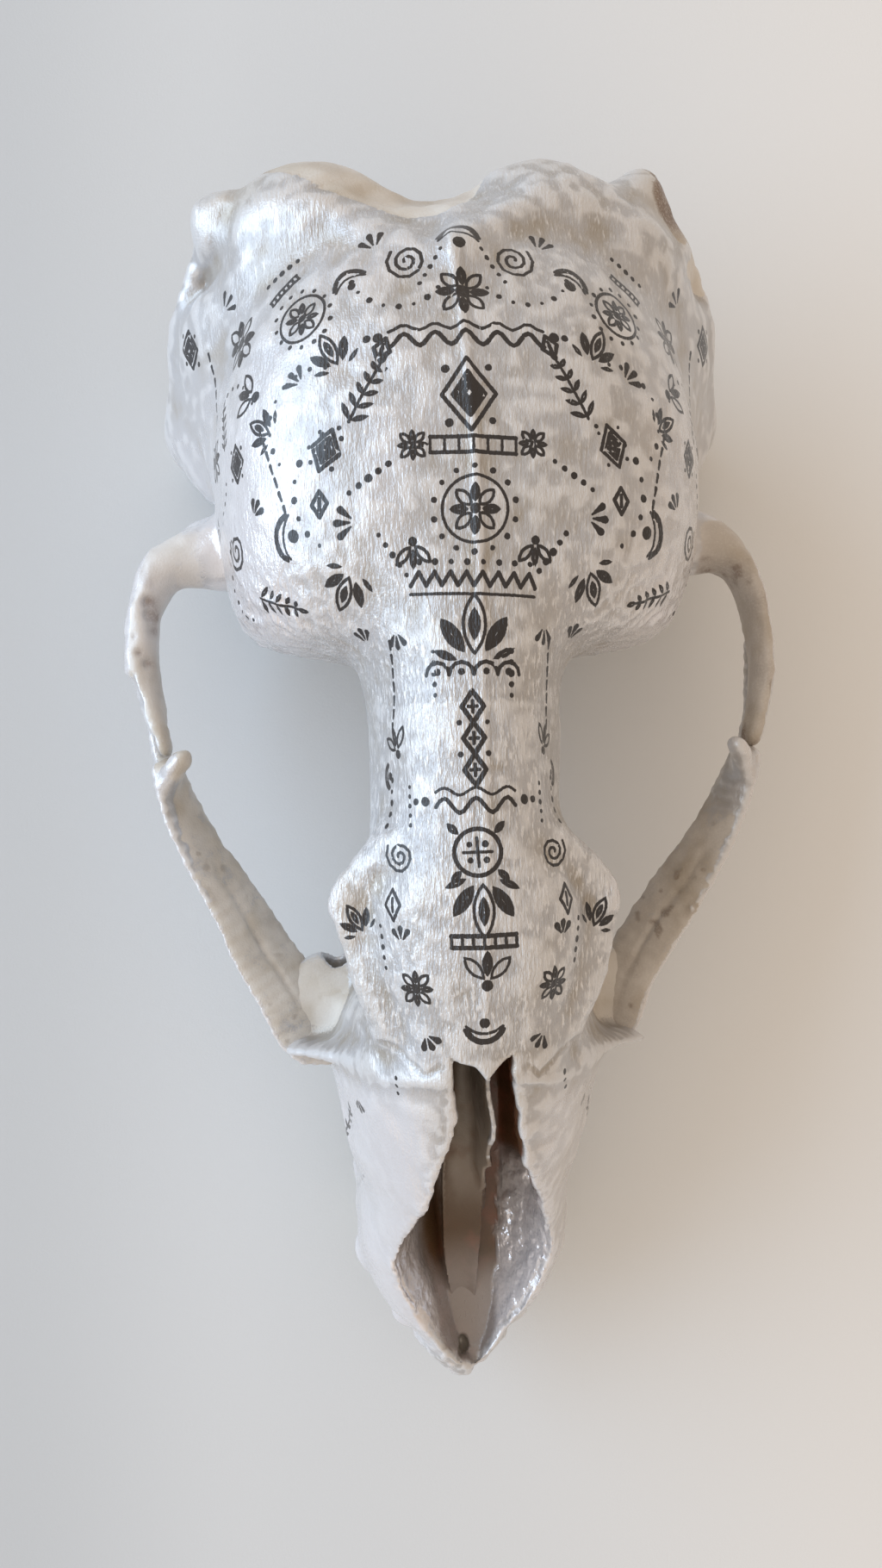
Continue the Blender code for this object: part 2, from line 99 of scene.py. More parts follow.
# Rounded lumps, made on both sides: x, y, z, then the radii along x, y and z, and the softness
LUMPS = [
    (53.2, 83, 11.8, 7.0, 7.0, 13.2, 3), (47, 80, 22, 9.4, 13, 12, 6), (37, 101, 15, 5.4, 5.4, 9.5, 4),
    (26, 70, 18, 12, 15, 8.5, 3), (12.8, 111, 24, 7.8, 8.6, 10.4, 3),
    (49, 60, 19, 9, 4, 7, 4), (25, -37, 29.6, 9.5, 10, 4.4, 5), (11.5, 28, 16, 2.4, 8, 5, 3)]
REAR_LUMPS = [
    (16, 105.4, 50, 16.5, 15, 17.5, 5), (-24, 105.2, 50, 17.4, 15.6, 17, 5), (25, 101, 48, 19, 15, 17, 5),
    (36, 113.6, 50, 5.6, 7.2, 7, 4), (42, 106.6, 47, 4, 4.4, 6, 4), (-42.5, 111, 50, 5, 6, 7, 4)]

# Swept ridges and rods: x, y, z, half thickness across, half height, tilt in degrees
NUCHAL_CREST = {
    RIGHT: [(54.4, 84, 20, 2.2, 4, 0), (54, 93.4, 30, 2, 4, 0), (49.5, 103, 38, 2, 4, 0),
            (44, 110.4, 43.5, 2, 4, 0), (38.6, 112.6, 48.5, 2, 4, 0), (33, 111, 54, 2, 4, 0),
            (27.4, 107.6, 59, 2, 4, 0), (22, 103.4, 62.6, 2, 4, 0), (16, 100.6, 66.2, 2, 4, 0),
            (10.5, 96.8, 69.4, 2, 4, 0), (4.5, 93, 72.6, 2, 4, 0), (0, 92, 73.6, 2, 4, 0)],
    LEFT: [(54.4, 84, 20, 2.2, 4, 0), (54, 93.4, 30, 2, 4, 0), (49.5, 102.6, 37.6, 2, 4, 0),
           (44, 109.4, 42.6, 2, 4, 0), (38, 112.6, 46.6, 2, 4, 0), (32, 113, 51, 2, 4, 0),
           (25, 112, 55.6, 2, 4, 0), (18, 108.6, 60.4, 2, 4, 0), (12, 104.6, 65, 2, 4, 0),
           (7, 100.4, 68.6, 2, 4, 0), (3, 95.4, 72, 2, 4, 0), (0, 92, 73.6, 2, 4, 0)]}
MIDLINE_RIDGE = [(0, 92, 73, 1.4, 5, 0), (0, 99, 67.6, 1.4, 4.4, 0), (0, 105.4, 58, 1.4, 3.4, 0),
                 (0, 108.6, 47, 1.4, 3, 0)]
BROW = [
    (12.5, -3.4, 72, 3, 4, 0), (18.2, -8, 70.5, 3, 2.8, 0), (22, -13.4, 69.8, 3, 2.2, 0),
    (20.2, -20, 69.4, 3, 2.2, 0), (18.6, -27, 69, 2.8, 2.6, 0), (15.5, -34, 67, 2.8, 4, 0)]
FACE_RIDGE = [
    (33.4, -45, 35.5, 1.2, 3.4, 0), (26, -43.6, 44, 1.4, 4.6, 0), (19.5, -42.6, 53, 1.6, 5, 0),
    (14, -42, 62, 1.8, 5, 0)]
CHEEK_ROOT = [
    (21, -38, 29, 8.5, 4.6, 0), (27, -37.5, 29.2, 8.5, 4, 0), (33, -37.5, 29.8, 8, 3.6, 0)]
SQUAMOSAL_ARM = {
    RIGHT: [(40, 55, 28, 9, 7, 0), (50, 54.2, 28.5, 7, 6.6, 0), (57, 52.5, 29, 5, 6.4, 0),
           (61.6, 46.5, 30, 3.8, 6.2, 0), (62.9, 38, 31, 3.1, 6, 0), (62.3, 29.5, 32, 3.1, 5.2, 0),
           (60.2, 23, 33.5, 2.2, 4.2, 0), (57.6, 14.8, 36, 1.5, 2.6, 0)],
    LEFT: [(40, 56, 28, 9, 7, 0), (49, 55.4, 28.5, 7, 6.6, 0), (56, 53.6, 29, 4.6, 6.4, 0),
           (60.6, 47, 30, 2.5, 6.2, 0), (63, 38, 31, 2.1, 6, 0), (63.6, 29, 32, 2.1, 5.2, 0),
           (62.4, 22, 33.5, 2, 4.2, 0), (60, 14.4, 36, 1.6, 2.6, 0)]}
CHEEK_BLADE = {
    RIGHT: [(26.4, -46.4, 31.6, 1.8, 3.6, 66), (31.4, -43, 32.6, 2, 6.2, 60), (35.3, -35, 33, 2, 7, 56),
            (40.6, -26, 33, 1.8, 7, 48), (45.8, -16, 33.4, 1.8, 6.6, 40), (51.2, -6, 34, 1.8, 6, 34),
            (55.4, 4, 35, 2, 5.4, 28), (57.4, 11, 35.6, 2, 4.4, 20)],
    LEFT: [(26.4, -46, 31.6, 1.8, 3.6, 66), (30.4, -41.6, 32.6, 2, 5.8, 60), (32.6, -34, 33, 2, 6, 54),
           (38, -25, 33, 1.8, 6.4, 44), (44.9, -15, 33.4, 1.8, 6.6, 36), (52, -5, 34, 1.8, 5.8, 32),
           (56.6, 4.5, 35, 2, 5.2, 28), (58.8, 11, 35.6, 2, 4.4, 20)]}
CHEEK_HEAD = {
    RIGHT: [(56.2, 8.6, 38, 1.9, 3, 0), (54.4, 11.4, 41, 1.8, 2.5, 0), (52.8, 12.8, 43, 1.4, 1.9, 0)],
    LEFT: [(57.4, 8.6, 38, 1.9, 3, 0), (56.2, 11.4, 41, 1.8, 2.5, 0), (54.8, 12.8, 43, 1.4, 1.9, 0)]}
CHEEK_TAIL = {
    RIGHT: [(57.6, 8, 31.5, 1.7, 3, 10), (60.4, 17, 28.4, 1.6, 2.8, 6), (62.2, 27, 24.8, 1.5, 2.5, 4),
            (63, 35, 22.8, 1.2, 1.8, 0)],
    LEFT: [(58.8, 8, 31.5, 1.7, 3, 10), (62.2, 17, 28.4, 1.5, 2.8, 6), (64, 27, 24.8, 1.4, 2.5, 4),
           (64.4, 35, 22.8, 1.2, 1.8, 0)]}

# The nose space: y, then half width and height at the floor, the side and the shoulder
NOSE = [
    (-10, 3.4, 38, 5, 44, 5, 52), (-24, 6, 30, 10, 42, 9, 58), (-36, 7, 27, 12.5, 40, 10.5, 62),
    (-48, 7, 26, 13.5, 38, 11.5, 58), (-57, 7, 25.5, 13.5, 36, 11.8, 52), (-66, 7, 25, 13.5, 35, 13, 47),
    (-75, 7, 25, 12.4, 33, 13.2, 42), (-86, 6.4, 25, 10.5, 30, 13.2, 37), (-94, 5.6, 25, 8.4, 29, 10.6, 34),
    (-102, 4.4, 25, 6.2, 28, 7.6, 31.5), (-108.5, 2.8, 25.4, 3.8, 27, 4.8, 29.5),
    (-113, 1.2, 26, 1.6, 27, 2, 29)]
# Roof of the part that runs back under the forehead: y, z; and the forehead's edge above: x, y
NOSE_ROOF = [(-10, 54), (-24, 65), (-36, 72), (-42, 72)]
# Half width of the nose's rim: y, x
NOSE_RIM = {
    RIGHT: [(-38, 5.3), (-49, 5.0), (-57, 6.3), (-60, 7.7), (-63, 8.3), (-67, 9.0), (-75, 12.2), (-80, 14.2),
           (-86, 15.5), (-90, 14.9), (-95, 13.0), (-102, 10.6), (-108.5, 8.0), (-113.5, 4.6)],
    LEFT: [(-38, 4.5), (-46, 5.3), (-55, 6.6), (-62, 8.3), (-69, 10.8), (-75, 12.8), (-81, 14.2),
            (-87.5, 15.2), (-92, 13.8), (-97.5, 11.2), (-105, 6.7), (-110, 3.6), (-113, 1.8)]}
NOSE_REAR_EDGE = [(-7, -37.5), (-5.2, -38.6), (-3.6, -39.4), (-1.6, -39.8), (0.2, -42.6), (1.6, -40.6),
                  (2.8, -39.6), (4.4, -38.4), (6, -37.5)]
NOSE_ENDS = (-113.6, -10)
NOSE_RIM_DEPTH = 5.0         # from the shoulder up to the rim

# Volumes cut from the skull, as the lofted ones, a rod and a lump
THROAT = [
    (-20, 5, 28, 34, 40, 2.2), (-8, 7.5, 23.5, 28, 34, 2.2), (2, 9, 18, 24, 29, 2.2),
    (10, 9.5, 8, 20, 26, 2.2), (20, 9, 4, 16, 23, 2.2), (31, 7, 2, 12, 19.6, 2.2)]
FORAMEN_MAGNUM = [
    (88, 5, 29, 34, 39, 2), (97, 9, 25.5, 34, 42, 2), (110, 10, 24.6, 34, 43, 2),
    (124, 11, 24, 35, 45, 2)]
CHEEK_CANAL = [(25.5, -60, 28, 2.8, 2.8, 0), (26, -44, 28.2, 3, 3, 0), (25, -22, 31, 3.4, 3.4, 0)]
TIP_HOLE = (0, -110.6, 26, 1.0, 1.8, 3.4)

# The thin wall in the nose: y, x of its foot, x of its top edge, height of its top
NOSE_WALL = [(-34, 0.6, 0.8, 72.5), (-44, 0.9, 1.3, 69.5), (-52, 1.1, 1.7, 66), (-58, 1.2, 1.9, 62.5),
             (-64, 1.4, 2.2, 54), (-69, 1.6, 2.5, 42), (-74, 1.8, 2.7, 35), (-80, 1.8, 2.4, 28)]
NOSE_WALL_ENDS = (-81, -35)
# The plate that it stands on: y, its left and right edges in x, height of its top
NOSE_PLATE = [(-44, -3.6, 1.6, 37), (-52, -4.2, 1.9, 36), (-62, -5.0, 2.2, 34.4), (-76, -5.7, 2.5, 32),
              (-86, -5.7, 2.0, 30), (-92, -5.4, 1.6, 27.8), (-98, -4.6, 1.2, 25.8), (-103, -4, 1, 24.2)]
NOSE_PLATE_ENDS = (-103, -35)
NOSE_WALL_FOOT, NOSE_PLATE_FOOT = 30, 19     # heights

# Upper teeth: x, y at the gum, radius there, crown length, forward rake, lean
CANINE = (16.4, -91.5, 4.6, 17.2, 3.4, 0.4)
INCISORS = [(3.2, -112.3, 1.5, 6, 1.2, 0), (7, -109.6, 1.7, 7, 1.2, 0), (11, -104.6, 2.6, 9.5, 1.6, 0)]
POSTCANINES = [(18.2, -81.5, 2.6), (18.7, -73.5, 2.8), (19.3, -65.2, 2.9), (19.7, -56.8, 2.9),
               (20, -48.4, 2.8), (19.6, -40.4, 2.5)]
POSTCANINE_CROWN = 6.5
GUM_LEVEL = 17.2

# The worn crest along the crown: y, x
CREST_LINE = [(-33, -0.2), (7.7, 0.5), (45.5, 0.5), (75.7, -0.8), (100.6, -2.3)]
# Where the paint ends on the back of the skull: x, z
REAR_PAINT_EDGE = [(-52, 36), (-45, 41), (-40, 47), (-28, 54), (-24, 57), (-16, 61.5), (-11, 65), (-5, 67),
                   (2, 62), (10, 50), (22, 44), (30, 47), (36, 53), (41, 55), (48, 46), (54, 36)]
# How far back the paint reaches on the right of the head, seen from above: x, y
PAINT_FOLD = [(-46, 118), (-38, 117.5), (-33, 115.5), (-28, 112.5), (-22, 108.5), (-16, 106), (-10.5, 103),
              (-5, 102.5), (0, 106), (4, 112), (8, 122)]
# Dents and swellings of the surface: x, y, z, reach, height
DENTS = [
    (-25, 101.8, 62, 6, -1.3), (-31, 97, 62, 5, -0.7), (-12, 97, 70, 5, -0.6), (13.3, 108.4, 60, 4.6, -1.7),
    (20, 110, 59, 4.2, -0.9), (25, 100, 67, 6, -0.6), (-36, 108, 54, 4, -0.5), (30, 108, 59, 4, 0.4),
    (-44.4, 84, 55, 9, -0.6), (43, 84, 57, 8, -0.5), (-20, 70, 83, 9, -0.4), (22, 62, 84, 10, -0.35),
    (-34, 52, 74, 8, 0.4), (33, 46, 74, 7, 0.4), (-30, 36, 66, 6, -0.5), (28, 38, 70, 6, -0.4),
    (-16, -40, 68, 3, -0.7), (16.5, -40, 68, 3, -0.7), (-10, -46, 71, 4, 0.4), (11, -46, 71, 4, 0.4),
    (-19, -62, 45, 6, 0.5), (19, -62, 45, 6, 0.4), (-15, -50, 66, 3, -0.5), (20, -52, 55, 5, -0.5)]
# Pits of the right arm of the cheek arch, seen from above: x, y, reach, depth
ARM_PITS = [(-61.0, 44.0, 1.2, 1.3), (-60.5, 41.2, 1.1, 1.5), (-60.0, 38.4, 1.0, 1.2),
            (-62.9, 33.8, 0.8, 0.8), (-61.3, 31.7, 0.8, 0.8), (-64.0, 37.0, 0.7, 0.5),
            (-59.4, 33.6, 0.7, 0.5)]
# Windows in which creases are evened out: two corners, rounds
CREASES = [((-44, 20, 36), (44, 50, 89), 26), ((-46, 84, 36), (46, 118, 86), 10),
           ((-60, 40, 14), (60, 100, 60), 8)]
# Lines where bones met, as points seen from above: x, y
SEAMS = [[(-29, -35.5), (-24, -34.5), (-19, -37), (-15, -37.6), (-10, -41.5), (-7.5, -40)],
         [(28, -36), (23, -34.6), (18, -37.4), (13, -39), (9, -42), (7.4, -40.4)]]


# Number helpers
def curve(at, places, values):
    """A smooth curve through values at rising places, flat beyond its ends (monotone cubic)."""
    places = np.asarray(places, float)
    values = np.asarray(values, float)
    steps = np.diff(places)
    slopes = np.diff(values) / steps
    bend = np.zeros_like(values)
    same_way = slopes[1:] * slopes[:-1] > 0
    bend[1:-1][same_way] = 2 / (1 / slopes[1:][same_way] + 1 / slopes[:-1][same_way])
    at = np.clip(at, places[0], places[-1])
    index = np.clip(np.searchsorted(places, at) - 1, 0, len(places) - 2)
    part = (at - places[index]) / steps[index]
    rest = 1 - part
    return (values[index] * (1 + 2 * part) * rest ** 2 + values[index + 1] * (3 - 2 * part) * part ** 2
            + bend[index] * steps[index] * part * rest ** 2
            - bend[index + 1] * steps[index] * part ** 2 * rest)


def columns(stations):
    """The stations' columns, with y rising."""
    ordered = sorted(stations)
    return [np.array(column, float) for column in zip(*ordered)]


def read(table, at):
    """Every column of a table after its first, as smooth curves at places of the first."""
    places, *values = columns(table)
    return [curve(at, places, column) for column in values]


def smooth_least(first, second, softness):
    """The smaller of two distances, melting together where they are alike."""
    blend = np.maximum(softness - np.abs(first - second), 0) / softness
    return np.minimum(first, second) - blend * blend * softness / 4


def smooth_most(first, second, softness):
    return -smooth_least(-first, -second, softness)


def rise(value, low, high):
    """0 below low, 1 above high and smooth between."""
    part = np.clip((value - low) / (high - low), 0, 1)
    return part * part * (3 - 2 * part)


def hump(offset, reach):
    """1 where an offset is 0, falling to 0 beyond its reach."""
    return np.exp(-(offset / reach) ** 2)


def midline(y):
    return curve(y, *columns(MIDLINE))


class Lattice:
    """Smooth seeded noise between -1 and 1."""
    SIZE = 32

    def __init__(self, seed):
        self.values = np.random.default_rng(seed).uniform(-1, 1, (self.SIZE,) * 3)

    def at(self, points, scale):
        """Noise at points (n, 3) whose features are about scale long."""
        places = np.asarray(points) / scale
        cell = np.floor(places).astype(int)
        part = places - cell
        part = part * part * (3 - 2 * part)
        total = np.zeros(len(places))
        for corner in np.ndindex(2, 2, 2):
            weight = np.prod(np.where(corner, part, 1 - part), axis=1)
            spot = (cell + corner) % self.SIZE
            total += weight * self.values[spot[:, 0], spot[:, 1], spot[:, 2]]
        return total


# The surface's noise, each with its own seed
BROAD, MIDDLE, FINE, BLOTCH, EDGE = (Lattice(seed) for seed in (11, 12, 13, 14, 15))
RIM_NOISE = Lattice(5)


# Shapes as signed distances, negative inside
class Field:
    """A signed distance sampled on a regular grid."""

    def __init__(self, low, high, grain):
        self.low = np.array(low, float)
        self.grain = grain
        counts = [int(math.ceil((b - a) / grain)) + 1 for a, b in zip(low, high)]
        self.axes = [low[k] + grain * np.arange(counts[k]) for k in range(3)]
        self.values = np.full(counts, FAR, np.float32)

    def window(self, low, high):
        """The part of the grid between two corners, and its places along each axis."""
        spans = []
        for axis, a, b in zip(self.axes, low, high):
            spans.append(slice(max(int(np.searchsorted(axis, a)) - 1, 0), int(np.searchsorted(axis, b)) + 1))
        x, y, z = (axis[span] for axis, span in zip(self.axes, spans))
        return tuple(spans), x[:, None, None], y[None, :, None], z[None, None, :]

    def add(self, shape, softness):
        spans, x, y, z = self.window(*shape.box)
        if 0 in self.values[spans].shape:
            return
        self.values[spans] = smooth_least(self.values[spans], shape.distance(x, y, z, self.grain), softness)

    def cut(self, shape, softness):
        spans, x, y, z = self.window(*shape.box)
        self.values[spans] = smooth_most(self.values[spans], -shape.distance(x, y, z, self.grain), softness)

    def path(self, pieces):
        """The window of a row of rods and their distance in it."""
        low = np.min([piece.box[0] for piece in pieces], axis=0)
        high = np.max([piece.box[1] for piece in pieces], axis=0)
        outer = self.window(low, high)[0]
        nearest = np.full(self.values.shape, FAR, np.float32)
        for piece in pieces:
            spans, x, y, z = self.window(*piece.box)
            nearest[spans] = smooth_least(nearest[spans], piece.distance(x, y, z, self.grain), 0.5)
        return outer, nearest[outer]

    def add_path(self, pieces, softness):
        spans, nearest = self.path(pieces)
        self.values[spans] = smooth_least(self.values[spans], nearest, softness)

    def cut_path(self, pieces, softness):
        spans, nearest = self.path(pieces)
        self.values[spans] = smooth_most(self.values[spans], -nearest, softness)

    def sample(self, points, values=None):
        """The distance at points (n, 3), interpolated."""
        values = self.values if values is None else values
        places = (points - self.low) / self.grain
        limit = np.array(self.values.shape) - 2
        cell = np.clip(np.floor(places).astype(int), 0, limit)
        part = np.clip(places - cell, 0, 1)
        total = np.zeros(len(points))
        for corner in np.ndindex(2, 2, 2):
            weight = np.prod(np.where(corner, part, 1 - part), axis=1)
            spot = cell + corner
            total += weight * values[spot[:, 0], spot[:, 1], spot[:, 2]]
        return total

    def soften(self, low, high, rounds):
        """Evens out the creases in a window."""
        part = self.values[self.window(low, high)[0]]
        for axis in list(range(3)) * rounds:
            before, middle, after = ([slice(None)] * 3 for _ in range(3))
            before[axis], middle[axis], after[axis] = slice(None, -2), slice(1, -1), slice(2, None)
            part[tuple(middle)] = (part[tuple(before)] + 2 * part[tuple(middle)] + part[tuple(after)]) / 4

    def slope(self, points, reach=0.6):
        """The direction in which the distance grows, as unit vectors."""
        result = np.empty_like(points)
        for k in range(3):
            step = np.zeros(3)
            step[k] = reach * self.grain
            result[:, k] = self.sample(points + step) - self.sample(points - step)
        return result / np.maximum(np.linalg.norm(result, axis=1, keepdims=True), 1e-9)

    def settle(self, points, rounds=2):
        """Moves points onto the surface."""
        for _ in range(rounds):
            points = points - self.slope(points) * self.sample(points)[:, None]
        return points


def beyond(ends, y):
    """How far places lie outside two ends along y."""
    return np.maximum(ends[0] - y, y - ends[1])


class Loft:
    """A volume along y with rounded cross-sections."""
    MARGIN = 9

    def __init__(self, stations):
        self.stations = stations
        y, width, bottom, _, top, _ = columns(stations)
        self.ends = (y[0], y[-1])
        reach = width.max() + self.MARGIN
        self.box = ((-reach, y[0] - self.MARGIN, bottom.min() - self.MARGIN),
                    (reach, y[-1] + self.MARGIN, top.max() + self.MARGIN))

    def distance(self, x, y, z, grain):
        width, bottom, level, top, power = read(self.stations, y)
        height = np.where(z > level, top - level, level - bottom)
        across = np.abs(x - midline(y)) / width
        up = np.abs(z - level) / height
        shape = (across ** power + up ** power + 1e-9) ** (1 / power) - 1
        slopes = np.gradient(shape, grain)
        steep = np.sqrt(sum(slope * slope for slope in slopes))
        inner = shape / np.maximum(steep, 0.25 / np.maximum(width, height))
        return np.maximum(inner, beyond(self.ends, y))


class Lump:
    """An ellipsoid."""
    MARGIN = 8

    def __init__(self, x, y, z, wide, long, tall):
        self.centre = np.array([x, y, z], float)
        self.radii = np.array([wide, long, tall], float)
        self.box = (self.centre - self.radii - self.MARGIN, self.centre + self.radii + self.MARGIN)

    def distance(self, x, y, z, grain):
        offsets = (x - midline(y) - self.centre[0], y - self.centre[1], z - self.centre[2])
        near = np.sqrt(sum((o / r) ** 2 for o, r in zip(offsets, self.radii)))
        far = np.sqrt(sum((o / (r * r)) ** 2 for o, r in zip(offsets, self.radii)))
        return near * (near - 1) / np.maximum(far, 1e-6)


class Rod:
    """One short piece of a swept rod with an elliptical section."""
    MARGIN = 6

    def __init__(self, start, end, start_size, end_size, across, upward):
        self.start, self.end = start, end
        self.sizes = (start_size, end_size)
        self.across, self.upward = across, upward
        reach = max(*start_size, *end_size) + self.MARGIN
        self.box = (np.minimum(start, end) - reach, np.maximum(start, end) + reach)

    def distance(self, x, y, z, grain):
        run = self.end - self.start
        offsets = [x - midline(y) - self.start[0], y - self.start[1], z - self.start[2]]
        part = sum(o * r for o, r in zip(offsets, run)) / (run @ run)
        part = np.clip(part, 0, 1)
        wide, tall = (a + (b - a) * part for a, b in zip(*self.sizes))
        offsets = [o - part * r for o, r in zip(offsets, run)]
        side = sum(o * a for o, a in zip(offsets, self.across))
        up = sum(o * u for o, u in zip(offsets, self.upward))
        ahead = sum(o * r for o, r in zip(offsets, run)) / math.sqrt(run @ run)
        least = np.minimum(wide, tall)
        near = np.sqrt((side / wide) ** 2 + (up / tall) ** 2 + (ahead / least) ** 2)
        far = np.sqrt((side / wide ** 2) ** 2 + (up / tall ** 2) ** 2 + (ahead / least ** 2) ** 2)
        return near * (near - 1) / np.maximum(far, 1e-6)


def rods(path, side, pieces=4):
    """The short rods of a path, smoothed between its points."""
    table = np.array(path, float)
    table[:, 0] *= side
    count = (len(table) - 1) * pieces + 1
    spots = np.linspace(0, len(table) - 1, count)
    fine = np.stack([curve(spots, range(len(table)), column) for column in table.T], axis=1)
    result = []
    for first, second in zip(fine, fine[1:]):
        forward = second[:3] - first[:3]
        forward /= np.linalg.norm(forward)
        level = np.cross(forward, (0, 0, 1))
        level /= np.linalg.norm(level)
        upright = np.cross(level, forward)
        turn = math.radians(side * (first[5] + second[5]) / 2)
        across = level * math.cos(turn) - upright * math.sin(turn)
        upward = upright * math.cos(turn) + level * math.sin(turn)
        result.append(Rod(first[:3], second[:3], tuple(first[3:5]), tuple(second[3:5]), across, upward))
    return result


class NoseSpace:
    """The hollow of the nose, open above up to a ragged edge of the forehead."""
    box = ((-22, -116, 20), (22, -6, 92))

    def rim(self, y, hand):
        """The ragged half width of the opening on one hand."""
        line = y.ravel()
        spots = np.stack([line, np.full_like(line, 7.0 * hand), np.zeros_like(line)], axis=1)
        wobble = 0.35 * RIM_NOISE.at(spots, 2.6) + 0.2 * RIM_NOISE.at(spots + 40, 1.2)
        return curve(y, *columns(NOSE_RIM[hand])) + wobble.reshape(y.shape)

    def distance(self, x, y, z, grain):
        floor_half, floor, side_half, side, shoulder_half, shoulder = read(NOSE, y)
        rim_half = np.where(x < 0, self.rim(y, RIGHT), self.rim(y, LEFT))
        levels = (floor, side, shoulder, shoulder + NOSE_RIM_DEPTH)
        widths = (floor_half, side_half, shoulder_half, rim_half)
        half = floor_half
        for low, high, lower, upper in zip(levels, levels[1:], widths, widths[1:]):
            half = half + (upper - lower) * np.clip((z - low) / (high - low), 0, 1)
        sides = np.maximum(np.abs(x) - half, floor - z)
        hollow = smooth_most(sides * 0.85, beyond(NOSE_ENDS, y), 2.0)
        opened = np.maximum(hollow, y - np.interp(x, *columns(NOSE_REAR_EDGE)))
        roofed = np.maximum(hollow, z - curve(y, *columns(NOSE_ROOF)))
        return np.minimum(opened, roofed)


# The corners and edges of a grid cell, for finding the surface
CORNERS = np.array(list(np.ndindex(2, 2, 2)))
EDGES = [(a, b) for a in range(8) for b in range(a + 1, 8) if np.abs(CORNERS[a] - CORNERS[b]).sum() == 1]


def surface_of(field):
    """Vertices and quads of the zero level of a field, one vertex in each cell that it crosses."""
    inside = field.values < 0
    counts = np.array(inside.shape) - 1
    filled = np.zeros(counts, np.int8)
    for corner in CORNERS:
        filled += inside[corner[0]:corner[0] + counts[0], corner[1]:corner[1] + counts[1],
                         corner[2]:corner[2] + counts[2]]
    cells = np.argwhere((filled > 0) & (filled < 8))
    values = np.stack([field.values[tuple((cells + corner).T)] for corner in CORNERS], axis=1).astype(float)
    total = np.zeros((len(cells), 3))
    crossings = np.zeros(len(cells))
    for a, b in EDGES:
        crossed = (values[:, a] < 0) != (values[:, b] < 0)
        part = values[crossed, a] / (values[crossed, a] - values[crossed, b])
        total[crossed] += CORNERS[a] + part[:, None] * (CORNERS[b] - CORNERS[a])
        crossings[crossed] += 1
    points = field.low + field.grain * (cells + total / crossings[:, None])
    number = np.full(counts, -1, np.int64)
    number[tuple(cells.T)] = np.arange(len(cells))
    quads = []
    for axis in range(3):
        low = [slice(None)] * 3
        high = [slice(None)] * 3
        low[axis], high[axis] = slice(None, -1), slice(1, None)
        start, end = inside[tuple(low)], inside[tuple(high)]
        one, two = [k for k in range(3) if k != axis]
        spots = np.argwhere(start != end)
        spots = spots[(spots[:, one] > 0) & (spots[:, two] > 0)]
        around = []
        for a, b in ((1, 1), (0, 1), (0, 0), (1, 0)):
            step = np.zeros(3, int)
            step[one], step[two] = a, b
            around.append(number[tuple((spots - step).T)])
        quad = np.stack(around, axis=1)
        leaves = start[tuple(spots.T)]
        if axis == 1:
            leaves = ~leaves
        quad[~leaves] = quad[~leaves][:, ::-1]
        quads.append(quad)
    return points, np.concatenate(quads)


def mesh_of(name, points, triangles):
    """A smooth mesh object from points in the table's millimetres."""
    data = bpy.data.meshes.new(name)
    places = ((np.asarray(points) + ORIGIN_SHIFT) * MM).astype(np.float32)
    corners = np.asarray(triangles, np.int32)
    data.vertices.add(len(places))
    data.vertices.foreach_set("co", places.ravel())
    data.loops.add(corners.size)
    data.loops.foreach_set("vertex_index", corners.ravel())
    data.polygons.add(len(corners))
    data.polygons.foreach_set("loop_start", np.arange(0, corners.size, corners.shape[1], dtype=np.int32))
    data.update(calc_edges=True)
    data.validate()
    data.shade_smooth()
    piece = bpy.data.objects.new(name, data)
    bpy.context.collection.objects.link(piece)
    return piece


def halved(quads, points):
    """Each quad as two triangles, cut along its shorter diagonal."""
    a, b, c, d = quads.T
    first = np.linalg.norm(points[a] - points[c], axis=1) <= np.linalg.norm(points[b] - points[d], axis=1)
    one = np.where(first[:, None], np.stack([a, b, c], axis=1), np.stack([a, b, d], axis=1))
    two = np.where(first[:, None], np.stack([a, c, d], axis=1), np.stack([b, c, d], axis=1))
    return np.concatenate([one, two])


def thinned(piece, most):
    """Reduces a piece to a number of triangles, keeping its detail where it has most."""
    count = len(piece.data.polygons)
    if count <= most:
        return
    reduce = piece.modifiers.new("thin", "DECIMATE")
    reduce.ratio = most / count
    reduced = bpy.data.meshes.new_from_object(piece.evaluated_get(bpy.context.evaluated_depsgraph_get()))
    piece.modifiers.clear()
    piece.data = reduced
    piece.data.name = piece.name
    piece.data.shade_smooth()


def read_points(piece):
    """A piece's points in the table's millimetres, and their outward directions."""
    count = len(piece.data.vertices)
    places = np.empty(count * 3, np.float32)
    piece.data.vertices.foreach_get("co", places)
    outward = np.empty(count * 3, np.float32)
    piece.data.vertex_normals.foreach_get("vector", outward)
    return places.reshape(-1, 3) / MM - ORIGIN_SHIFT, outward.reshape(-1, 3)


def store(piece, name, columns_of_values, domain="POINT"):
    """Four numbers for each point or corner, read by the materials."""
    values = np.stack(columns_of_values, axis=1).astype(np.float32)
    layer = piece.data.attributes.new(name, "FLOAT_COLOR", domain)
    layer.data.foreach_set("color", values.ravel())


def near_mean(values, pairs, count):
    """Each point's mean over its neighbours."""
    first, second = pairs.T
    shares = np.bincount(first, minlength=count) + np.bincount(second, minlength=count)
    sums = [np.bincount(first, column[second], count) + np.bincount(second, column[first], count)
            for column in values.T]
    return np.stack(sums, axis=1) / np.maximum(shares, 1)[:, None]


# Fine and wide hollows: rounds of evening out, and how strongly what they change is kept
HOLLOWS = ((2, 2.2), (10, 1.0))


